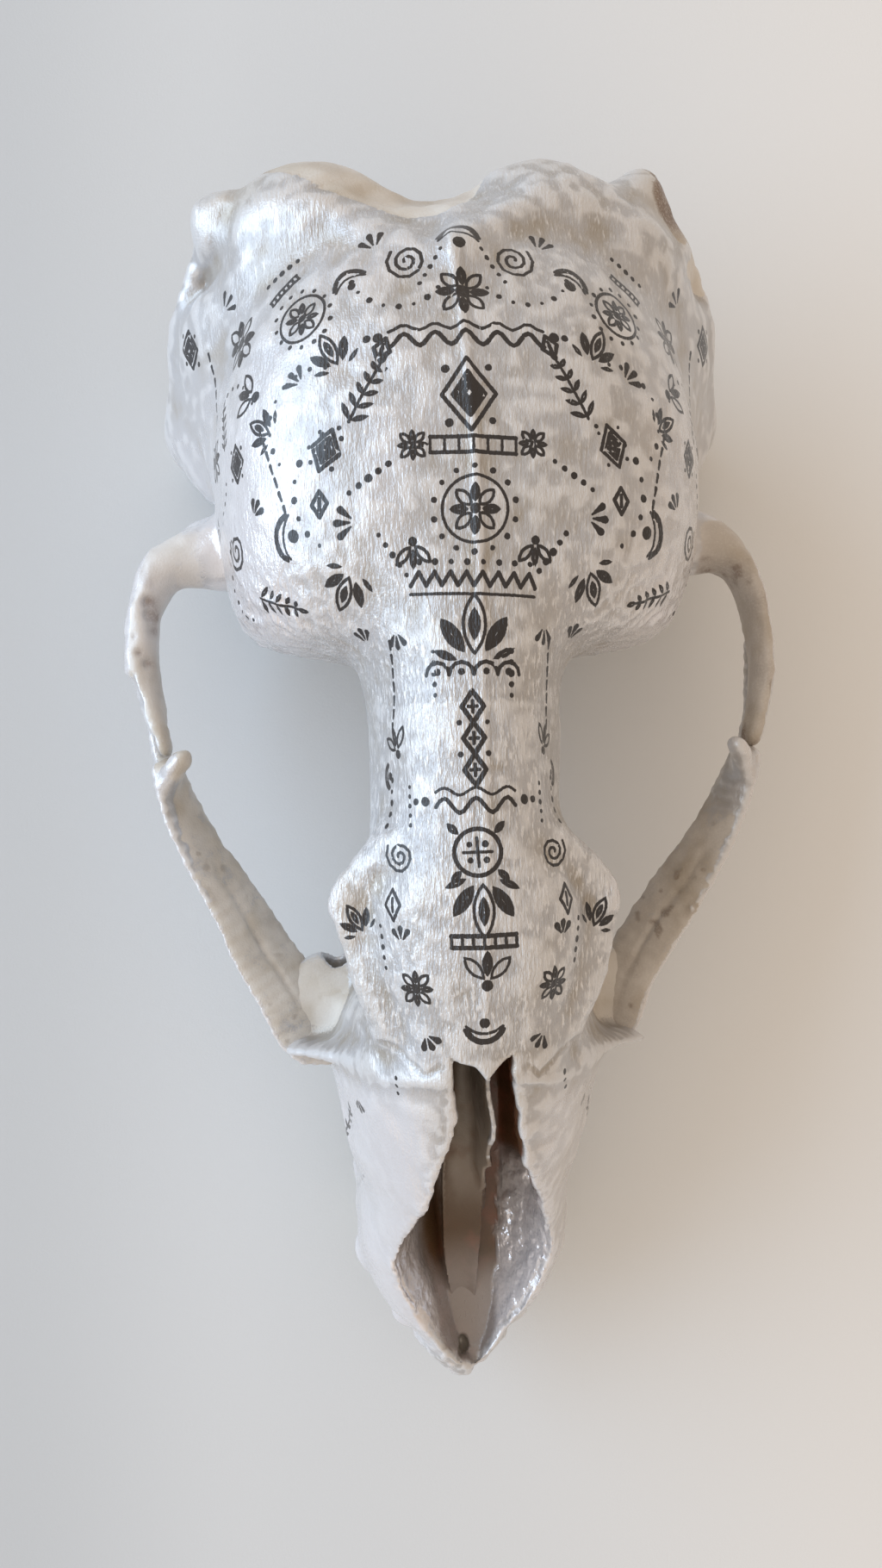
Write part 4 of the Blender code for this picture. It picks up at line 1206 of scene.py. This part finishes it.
def double_wave(pen, half_span=11, period=4.4):
    bold_pieces = int(half_span * 2 / period * 8)
    for lift, height, pieces, half in ((0, 1.0, bold_pieces, BOLD), (1.9, 0.5, 25, LIGHT)):
        places = np.linspace(-half_span, half_span, pieces + 1)
        pen.path([(a, lift + height * math.cos(a * 2 * math.pi / period)) for a in places], half)
    for side in (-1, 1):
        pen.dot(side * (half_span + 1.6), 0.6, 0.62)
        pen.dot(side * (half_span + 3.2), 0.6, 0.4)


def small_wave(pen):
    double_wave(pen, 5.6)


def zigzag(pen, half_span=9, teeth=8):
    step = half_span * 2 / teeth
    pen.path([(-half_span + step * k / 2, 0.95 if k % 2 else -0.95) for k in range(2 * teeth + 1)], BOLD)
    for k in range(teeth):
        pen.dot(-half_span + step * (k + 0.5), 2.3, 0.36)
    pen.line(-half_span, -2.1, half_span, -2.1)


def leaf_pair(pen):
    pen.leaf(0, 0.8, 0, 3.3, 1.25, filled=False)
    pen.leaf(0, 0.8, 0, 1.9, 0.72)
    for side in (-1, 1):
        pen.leaf(side * 2.5, -0.4, side * 34, 2.4, 0.95)
        pen.leaf(side * 3.4, -2.6, side * 66, 1.5, 0.5)


def ladder(pen, half_span=5.5, rungs=7):
    for b in (-1.0, 1.0):
        pen.line(-half_span, b, half_span, b, BOLD)
    for rung in range(rungs):
        a = half_span * (2 * rung / (rungs - 1) - 1)
        pen.line(a, -1.0, a, 1.0)


def ring_cross(pen):
    pen.ring(0, 0, 3.1, BOLD)
    pen.line(-1.9, 0, 1.9, 0)
    pen.line(0, -1.9, 0, 1.9)
    for lean in (45, -45, -135, -225):
        pen.dot(*polar(1.5, lean), 0.36)
        pen.leaf(*polar(4.5, lean), lean, 1.1, 0.55)


def scallops(pen, count=4, radius=1.55):
    for step in centred(count):
        pen.arc(step * radius * 2, 0, radius, 0, 180, BOLD, 6)
        pen.dot(step * radius * 2, 0.35, 0.4)


def fern(pen, length=9, pairs=5):
    pen.line(0, -length / 2, 0, length / 2)
    for pair in range(pairs):
        b = length * ((pair + 0.6) / pairs - 0.5)
        size = 1.35 - 0.14 * pair
        for side in (-1, 1):
            pen.leaf(side * size * 0.8, b, side * 52, size, 0.42)
    pen.leaf(0, length / 2 + 0.8, 0, 1.1, 0.5)


def spiral(pen, turns=2.1, reach=2.9):
    count = 22
    spots = [(reach * (0.12 + 0.88 * k / count), 2 * math.pi * turns * k / count) for k in range(count + 1)]
    pen.path([(r * math.cos(t), r * math.sin(t)) for r, t in spots], LIGHT * 1.1)


def dots_down(pen, count=5, gap=1.9):
    for step in centred(count):
        pen.dot(0, step * gap, 0.46 - 0.05 * abs(step))


def dot_arc(pen, radius=9.0, spread=70, count=9):
    for step in range(count):
        a, b = polar(radius, spread * (2 * step / (count - 1) - 1))
        pen.dot(a, b - radius, 0.42 if step % 2 else 0.3)


def dashes(pen, count=7, gap=2.5):
    for step in centred(count):
        pen.line(0, step * gap - 0.7, 0, step * gap + 0.7, LIGHT * 0.9, LIGHT * 1.3)


def small_lozenge(pen):
    diamond(pen, 1.5, 2.2)
    pen.line(0, -0.9, 0, 0.9, BOLD)


def three_drops(pen):
    for lean in (-38, 0, 38):
        pen.line(*polar(0.765, lean), *polar(2.295, lean), 0.16, 0.56)


# The design: single motifs down the middle (motif, y, turn, size), then mirrored ones
# (motif, degrees from the crown line, y, turn, size)
MIDDLE_MOTIFS = [
    (crescent, 94, 180, 1.2), (rosette, 85.5, 0, 1.35), (double_wave, 77, 0, 1.15),
    (lozenge, 67.5, 0, 1.25), (ladder, 59.5, 0, 1.2), (ringed_rosette, 49.5, 0, 1.2),
    (zigzag, 39, 0, 1.1), (leaf_pair, 30.5, 0, 1.35), (scallops, 24, 0, 1.3), (lozenge_chain, 13.5, 0, 1.0),
    (small_wave, 3, 0, 1.15), (ring_cross, -4.6, 0, 1.15), (leaf_pair, -13, 180, 1.25),
    (ladder, -18.6, 0, 0.95), (fan, -25.6, 0, 1.25), (crescent, -32, 0, 1.15)]
SIDE_MOTIFS = [
    (spiral, 15, 92, 0, 1.2), (dots_down, 8.5, 90.5, 30, 0.9), (three_drops, 24, 95, -20, 1.3),
    (crescent, 29, 88, 150, 1.1), (ringed_rosette, 41, 84, 0, 1.0), (fern, 24, 69, 30, 1.2),
    (leaf_pair, 32, 76.5, -25, 0.9), (three_drops, 39, 72, -50, 1.25), (dot_arc, 20, 84, 200, 0.9),
    (lozenge, 34, 60.5, 20, 0.72), (fan, 53, 72, -70, 1.2), (dashes, 48, 59, -18, 1.0),
    (rosette, 64, 84, 0, 1.5), (dot_arc, 64, 76, 0, 0.9), (dots_down, 24, 55, 60, 1.0),
    (crescent, 45, 47.5, 90, 1.25), (three_drops, 28, 48.5, -90, 1.35), (dots_down, 20, 43, -35, 1.0),
    (lozenge, 61, 62, 0, 0.7), (spiral, 66, 48, 0, 1.2), (fern, 56, 38, 110, 1.05),
    (leaf_pair, 34, 38.5, -150, 0.95), (dot_arc, 42, 56, -75, 1.1), (rosette, 77, 66, 0, 1.2),
    (three_drops, 80, 54, -90, 1.2), (dashes, 80, 79, 10, 1.0), (three_drops, 74, 93, 60, 1.3),
    (dots_down, 53, 95, 60, 1.0), (lozenge, 88, 90, 20, 0.8), (ladder, 50, 91, -38, 0.6),
    (dot_arc, 76, 42, -100, 0.8), (three_drops, 55, 52, 40, 1.0), (dots_down, 70, 57, 20, 0.9),
    (dashes, 33, 22.5, 6, 0.9), (three_drops, 22, 31.5, 180, 1.0), (fan, 31, 12, -20, 1.0),
    (dots_down, 37, 3.5, 0, 1.0), (spiral, 30, -5, 0, 0.95), (small_lozenge, 33, -13, 0, 1.1),
    (dots_down, 40, -20, -8, 0.9), (rosette, 27, -26.5, 0, 0.95), (three_drops, 22, -34.6, 150, 0.95),
    (leaf_pair, 52, -16, -30, 0.7), (dots_down, 27, -43, 12, 0.8), (fern, 56, -59, 14, 1.0),
    (rosette, 14, 60, 0, 0.75), (small_lozenge, 20, 76, 20, 0.9), (dot_arc, 46, 70, -60, 1.0),
    (leaf_pair, 50, 66, -60, 0.8), (fan, 15, 44.5, 180, 0.9), (small_lozenge, 36, 52, 0, 0.95),
    (fern, 68, 70, 0, 0.9), (dots_down, 13, 24, 0, 0.9), (three_drops, 36, 30, 0, 0.9),
    (dots_down, 25, 3, 0, 0.8), (three_drops, 31, -19, 0, 0.9), (crescent, 38, 8, 90, 0.7),
    (three_drops, 46, -50, 180, 0.95), (dots_down, 62, -72, 10, 0.95), (small_lozenge, 70, -64, 0, 1.0)]


def draw_pattern(sheet):
    """The whole design as marks on the bone."""
    pen = Pen(sheet, PEN_SEED)
    for motif, y, turn, size in MIDDLE_MOTIFS:
        pen.draw(motif, 0, y, turn, size, both=False)
    for motif, degrees, y, turn, size in SIDE_MOTIFS:
        pen.draw(motif, degrees, y, turn, size)
    return pen.marks()


def linear(red, green, blue):
    """A colour given as it looks on a screen, 0 to 255."""
    values = []
    for value in (red, green, blue):
        share = value / 255
        values.append(share / 12.92 if share <= 0.04045 else ((share + 0.055) / 1.055) ** 2.4)
    return (*values, 1.0)


COOL_PAINT = linear(186, 186, 189)
WARM_PAINT = linear(162, 153, 140)
# Painted highlight: the white that brush-stroke ridges and bumps of the paint are lightened towards.
PAINTED_HIGHLIGHT_WHITE = linear(232, 232, 234)
BONE = linear(213, 207, 199)
DARK_BONE = linear(190, 180, 165)
STAIN = linear(104, 76, 52)
TAN = linear(90, 68, 46)
# Red-brown of the stained nose channel, set lighter than the stain's own colour: painted light in the deep
# channel.
RED_BROWN = linear(132, 82, 62)
# Silver of the pearl paint in the nose, also used as painted highlight on the flanks and edges.
SILVER = linear(236, 234, 238)
INK = linear(27, 23, 26)
ENAMEL = linear(232, 220, 192)
OLD_ENAMEL = linear(188, 158, 112)
# The board's colours, darker and bluer on the left and lighter and warmer on the right: painted light across
# the floor.
BOARD = [(0.58, 0.61, 0.645, 1), (0.69, 0.72, 0.755, 1), (0.83, 0.825, 0.82, 1)]
BOARD_PLACES = (-110.0, -45.0, 130.0)        # in x, where each of the board's colours is reached

# Depths of the fine relief: brush strokes, grain of the bone, crinkled pearl in the nose, enamel, board
STROKE_DEPTH, GRAIN_DEPTH, CRINKLE_DEPTH = 0.42, 0.07, 1.15
ENAMEL_LINES_DEPTH, ENAMEL_DEPTH, BOARD_DEPTH = 0.03, 0.08, 0.03
PAINT_GLAZE, ENAMEL_GLAZE, GLAZE_ROUGHNESS = 0.4, 0.3, 0.22


class Shader:
    """A material's node tree, built up from sums."""

    def __init__(self, name):
        self.material = bpy.data.materials.new(name)
        self.material.use_nodes = True
        self.tree = self.material.node_tree
        self.surface = self.tree.nodes["Principled BSDF"]
        place = self.node("ShaderNodeTexCoord").outputs["Object"]
        self.place = self.vector("SCALE", place, scale=1 / MM)

    def put(self, socket, value):
        if isinstance(value, bpy.types.NodeSocket):
            self.tree.links.new(value, socket)
        else:
            socket.default_value = value

    def node(self, kind, inputs=None, **settings):
        node = self.tree.nodes.new(kind)
        for key, value in settings.items():
            setattr(node, key, value)
        for place, value in (inputs or {}).items():
            self.put(node.inputs[place], value)
        return node

    def vector(self, operation, first, second=None, scale=None):
        node = self.node("ShaderNodeVectorMath", {0: first}, operation=operation)
        if second is not None:
            self.put(node.inputs[1], second)
        if scale is not None:
            self.put(node.inputs["Scale"], scale)
        return node.outputs[0]

    def sum(self, operation, *values, clamp=False):
        node = self.node("ShaderNodeMath", dict(enumerate(values)), operation=operation, use_clamp=clamp)
        return node.outputs[0]

    def plus(self, first, second):
        return self.sum("ADD", first, second)

    def minus(self, first, second):
        return self.sum("SUBTRACT", first, second)

    def times(self, first, second):
        return self.sum("MULTIPLY", first, second)

    def scaled(self, value, factor, base, clamp=False):
        """A value times a factor, added to a base."""
        return self.sum("MULTIPLY_ADD", value, factor, base, clamp=clamp)

    def axes(self):
        """The places along x, y and z, in millimetres."""
        return self.node("ShaderNodeSeparateXYZ", {0: self.place}).outputs

    def noise(self, size, detail=3.0, roughness=0.55, stretch=(1, 1, 1), shift=0.0):
        """Noise from 0 to 1 whose features are about size millimetres, longer where stretch is more."""
        place = self.vector("MULTIPLY", self.place, tuple(1 / (size * s) for s in stretch))
        place = self.vector("ADD", place, (shift, shift, shift))
        node = self.node("ShaderNodeTexNoise", {"Vector": place, "Scale": 1.0, "Detail": detail,
                                                "Roughness": roughness})
        return node.outputs[0]

    def between(self, value, low, high, start=0.0, end=1.0):
        node = self.node("ShaderNodeMapRange", {0: value, 1: low, 2: high, 3: start, 4: end},
                         interpolation_type="SMOOTHSTEP")
        return node.outputs[0]

    def mix(self, factor, first, second):
        node = self.node("ShaderNodeMix", {0: factor, 6: first, 7: second}, data_type="RGBA")
        return node.outputs[2]

    def layer(self, name):
        node = self.node("ShaderNodeAttribute", attribute_name=name)
        parts = self.node("ShaderNodeSeparateColor", {0: node.outputs["Color"]})
        return [*parts.outputs[:3], node.outputs["Alpha"]]

    def bump(self, height, depth, normal=None):
        """Raises the surface by up to depth millimetres."""
        node = self.node("ShaderNodeBump", {"Height": height, "Distance": depth * MM, "Strength": 1.0})
        if normal is not None:
            self.put(node.inputs["Normal"], normal)
        return node.outputs[0]

    def finish(self, colour, roughness, metallic, normal, glaze=0.0):
        inputs = self.surface.inputs
        for name, value in (("Base Color", colour), ("Roughness", roughness), ("Metallic", metallic),
                            ("Normal", normal)):
            self.put(inputs[name], value)
        inputs["Coat Weight"].default_value = glaze
        inputs["Coat Roughness"].default_value = GLAZE_ROUGHNESS
        return self.material


def inked_share(shader, grain, strokes):
    """1 where a stroke's ink lies, with the uneven edge that a pen leaves on a rough surface."""
    gaps = []
    for slot in range(SLOTS):
        across, along, half_length, taper = shader.layer(f"stroke_place_{slot}")
        ring, half, inset, _ = shader.layer(f"stroke_size_{slot}")
        wide = shader.plus(shader.sum("ABSOLUTE", across), inset)
        long = shader.sum("MAXIMUM", shader.minus(shader.sum("ABSOLUTE", along), half_length), 0.0)
        away = shader.sum("SQRT", shader.scaled(wide, wide, shader.times(long, long)))
        gap = shader.sum("ABSOLUTE", shader.minus(away, ring))
        gaps.append(shader.minus(gap, shader.scaled(taper, along, half)))
    gap = shader.sum("MINIMUM", shader.sum("MINIMUM", gaps[0], gaps[1]), gaps[2])
    rough = shader.scaled(grain, 0.2, -0.1)
    edge = shader.between(shader.plus(gap, rough), -0.05, 0.05, 1.0, 0.0)
    worn = shader.between(strokes, 0.7, 0.78, 1.0, 0.45)
    return shader.times(edge, worn)


def bone_finish(name, inked):
    """Pearl white paint brushed over bone, bare bone, the nose's lining and the pen's ink, with painted
    shade in dips and painted highlight on bumps, brush strokes, flanks and edges.
    """
    shader = Shader(name)
    paint, stain_and_shade, lining, pearl_and_painted_highlight = shader.layer("coat")
    blotch, mottle, hollow, valley = shader.layer("tone")
    grain = shader.noise(0.45, 1.0, 0.6, shift=9.0)
    brushed = shader.noise(0.5, 2.0, 0.62, (1, 4.6, 2.2))
    _, along, height = shader.axes()
    firm = shader.between(shader.scaled(blotch, 30.0, along), 40.0, 66.0, 1.0, 0.5)
    firm = shader.times(firm, shader.between(along, -48.0, -36.0, 0.3, 1.0))
    firm = shader.times(firm, shader.between(height, 40.0, 66.0, 0.12, 1.0))
    strokes = shader.scaled(shader.minus(brushed, 0.5), firm, 0.5)

    ragged = shader.scaled(shader.plus(mottle, grain), 0.22, -0.22)
    painted = shader.between(shader.plus(paint, ragged), 0.4, 0.56)
    # Dips in the surface move the paint towards the warm grey: painted shade in hollows. The blotches and
    # strokes that join it are the paint's own thin patches.
    hollow_shade = shader.plus(shader.between(hollow, 0.5, 0.72), shader.between(valley, 0.5, 0.85))
    patches = shader.scaled(hollow_shade, 0.3, shader.scaled(strokes, 0.5, blotch))
    thin = shader.between(patches, 0.5, 1.5)

    bone = shader.mix(shader.between(shader.plus(blotch, shader.times(mottle, 0.3)), 0.45, 1.1),
                      BONE, DARK_BONE)
    bone = shader.mix(shader.times(stain_and_shade, shader.between(grain, 0.2, 0.6, 0.55, 1.0)), bone, STAIN)
    coat = shader.mix(shader.times(thin, 0.8), COOL_PAINT, WARM_PAINT)
    # Lighter along the brush strokes: painted highlight.
    coat = shader.mix(shader.between(strokes, 0.5, 0.68, 0.0, 0.9), coat, PAINTED_HIGHLIGHT_WHITE)
    # Lighter on bumps and ridges, where the surface bulges: painted highlight.
    coat = shader.mix(shader.between(hollow, 0.5, 0.34, 0.0, 0.6), coat, PAINTED_HIGHLIGHT_WHITE)
    coat = shader.mix(shader.times(stain_and_shade, 0.55), coat, DARK_BONE)
    colour = shader.mix(painted, bone, coat)
    speckled = shader.times(stain_and_shade, shader.between(mottle, 0.3, 0.75, 0.35, 1.0))
    colour = shader.mix(lining, colour, shader.mix(speckled, TAN, RED_BROWN))
    # Silver pearl paint, and painted highlight where the pearl share is raised on the flanks and edges.
    colour = shader.mix(pearl_and_painted_highlight, colour, SILVER)

    roughness = shader.between(painted, 0.0, 1.0, 0.6, 0.33)
    roughness = shader.scaled(shader.minus(strokes, 0.5), -0.4, roughness)
    roughness = shader.scaled(pearl_and_painted_highlight, -0.18, roughness, clamp=True)
    bare = shader.minus(1.0, lining)
    paint_gloss = shader.times(shader.times(painted, 0.3), bare)
    pearl_gloss = shader.times(pearl_and_painted_highlight, shader.between(lining, 0.0, 1.0, 0.55, 0.4))
    metallic = shader.sum("MAXIMUM", paint_gloss, pearl_gloss)
    if inked:
        drawn = inked_share(shader, grain, strokes)
        colour = shader.mix(drawn, colour, INK)
        metallic = shader.times(metallic, shader.minus(1.0, drawn))

    lines = shader.times(shader.times(strokes, paint), STROKE_DEPTH)
    height = shader.scaled(grain, GRAIN_DEPTH, lines)
    crinkled = shader.times(shader.times(pearl_and_painted_highlight, lining), shader.noise(3.0, 2.0, 0.5))
    height = shader.scaled(crinkled, CRINKLE_DEPTH, height)
    return shader.finish(colour, roughness, metallic, shader.bump(height, 1.0), PAINT_GLAZE)


def enamel_finish():
    shader = Shader("enamel")
    _, _, height = shader.axes()
    mottle = shader.noise(2.4, 3.0)
    old = shader.between(shader.scaled(mottle, 6.0, height), 12.0, 21.0)
    lines = shader.noise(0.35, 3.0, 0.6, (1, 1, 9))
    colour = shader.mix(old, ENAMEL, OLD_ENAMEL)
    colour = shader.mix(shader.between(lines, 0.6, 0.75, 0.0, 0.4), colour, OLD_ENAMEL)
    normal = shader.bump(mottle, ENAMEL_DEPTH, shader.bump(lines, ENAMEL_LINES_DEPTH))
    roughness = shader.between(mottle, 0.3, 0.7, 0.24, 0.4)
    return shader.finish(colour, roughness, 0.0, normal, ENAMEL_GLAZE)


def floor_finish():
    shader = Shader("white_board")
    grain = shader.noise(0.6, 3.0)
    across, _, _ = shader.axes()
    # Painted light: the board's colour brightens and warms from left to right.
    colour = BOARD[0]
    for low, high, next_colour in zip(BOARD_PLACES, BOARD_PLACES[1:], BOARD[1:]):
        colour = shader.mix(shader.between(across, low, high), colour, next_colour)
    return shader.finish(colour, 0.7, 0.0, shader.bump(grain, BOARD_DEPTH))


def dress(piece, material):
    piece.data.materials.clear()
    piece.data.materials.append(material)
    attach(piece, "root")


def skin(name, field, relief, box=None):
    """A field's surface as a piece, raised by its relief and kept inside a box of the frame."""
    points, quads = surface_of(field)
    points = field.settle(points)
    outward = field.slope(points, 1.5)
    points = points + outward * relief(points, outward)[:, None]
    if box is not None:
        low, high = np.array(box) / MM - ORIGIN_SHIFT
        points = np.clip(points, low, high)
    return mesh_of(name, points, halved(quads, points))


def make_cranium(field, material):
    piece = skin("cranium_bone", field, cranium_relief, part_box("cranium"))
    thinned(piece, MOST_TRIANGLES)
    points, outward = read_points(piece)
    depth = -field.sample(points, field.whole)
    store(piece, "coat", cranium_coat(points, outward, inner_nose(points), depth))
    store_tone(piece)
    ink(piece, draw_pattern(Sheet(field)))
    dress(piece, material)
    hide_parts("cranium")


def make_nose_wall(material):
    wall = NoseWall()
    field = Field(*wall.box, NOSE_WALL_GRAIN)
    field.add(wall, SHARP)
    piece = skin("nose_wall", field, wall_relief)
    store(piece, "coat", wall_coat(*read_points(piece)))
    store_tone(piece)
    dress(piece, material)


def make_cheek_bones(material):
    for side, word in ((LEFT, "left"), (RIGHT, "right")):
        piece = skin(f"jugal_{word}_bone", cheek_field(side), partial(cheek_relief, side))
        store(piece, "coat", cheek_coat(side, *read_points(piece)))
        store_tone(piece)
        dress(piece, material)
        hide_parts(f"jugal_{word}")


def make_teeth(material):
    for name, side, numbers in tooth_numbers():
        piece = tooth_mesh(f"{name}_crown", side, numbers)
        dress(piece, material)
        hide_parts(name)


def make_floor():
    bpy.ops.mesh.primitive_plane_add(size=6)
    floor = bpy.context.object
    floor.name = "floor"
    floor.data.materials.append(floor_finish())


def make_light(name, place, size, watts, colour):
    lamp = bpy.data.lights.new(name, "AREA")
    lamp.shape = "RECTANGLE"
    lamp.size, lamp.size_y = size
    lamp.energy = watts
    lamp.color = colour
    thing = bpy.data.objects.new(name, lamp)
    bpy.context.collection.objects.link(thing)
    thing.location = place
    thing.rotation_euler = (LIGHT_AIM - thing.location).to_track_quat("-Z", "Y").to_euler()


# The room's walls, lit on the window's side and darker far from it, and where the change begins and ends
WINDOW_WALL = (1.2, 1.08, 0.95, 1)
FAR_WALL = (0.84, 0.68, 0.53, 1)
WALL_SPAN = (-0.8, 0.9)
ROOM_STRENGTH = 0.74
WINDOW = {"place": (-1.6, 0.4, 0.78), "size": (2.2, 1.5), "watts": 31, "colour": (0.54, 0.76, 1.0)}
LIGHT_AIM = Vector((0, 0, 0.04))


def make_room():
    world = bpy.data.worlds.new("room")
    bpy.context.scene.world = world
    world.use_nodes = True
    tree = world.node_tree
    sides = tree.nodes.new("ShaderNodeSeparateXYZ")
    tree.links.new(tree.nodes.new("ShaderNodeTexCoord").outputs["Generated"], sides.inputs[0])
    span = tree.nodes.new("ShaderNodeMapRange")
    span.inputs["From Min"].default_value, span.inputs["From Max"].default_value = WALL_SPAN
    tree.links.new(sides.outputs[0], span.inputs["Value"])
    wall = tree.nodes.new("ShaderNodeMix")
    wall.data_type = "RGBA"
    wall.inputs[6].default_value = WINDOW_WALL
    wall.inputs[7].default_value = FAR_WALL
    tree.links.new(span.outputs[0], wall.inputs[0])
    sky = tree.nodes["Background"]
    tree.links.new(wall.outputs[2], sky.inputs["Color"])
    sky.inputs["Strength"].default_value = ROOM_STRENGTH
    make_light("window", **WINDOW)
    bpy.context.scene.view_settings.view_transform = "Standard"


# The camera: metres, degrees about Y and Z, and the distance to the picture in pixels of its height
CAMERA_PLACE = (-0.01458, 0.00435, 0.262)
CAMERA_LEAN, CAMERA_TURN = -2.86, -1.46
PICTURE_DISTANCE, PICTURE_HEIGHT = 1314, 1820
SENSOR = 36.0


def make_camera():
    camera = bpy.data.cameras.new("camera")
    camera.sensor_fit = "AUTO"
    camera.sensor_width = SENSOR
    camera.lens = PICTURE_DISTANCE / PICTURE_HEIGHT * SENSOR
    camera.clip_start = 0.01
    thing = bpy.data.objects.new("camera", camera)
    bpy.context.collection.objects.link(thing)
    lean = Matrix.Rotation(math.radians(CAMERA_LEAN), 4, "Y")
    turn = Matrix.Rotation(math.radians(CAMERA_TURN), 4, "Z")
    thing.matrix_world = Matrix.Translation(CAMERA_PLACE) @ lean @ turn
    bpy.context.scene.camera = thing


bone = bone_finish("painted_bone", inked=False)
make_cranium(cranium_field(), bone_finish("drawn_bone", inked=True))
make_nose_wall(bone)
make_cheek_bones(bone)
make_teeth(enamel_finish())
make_floor()
make_room()
make_camera()
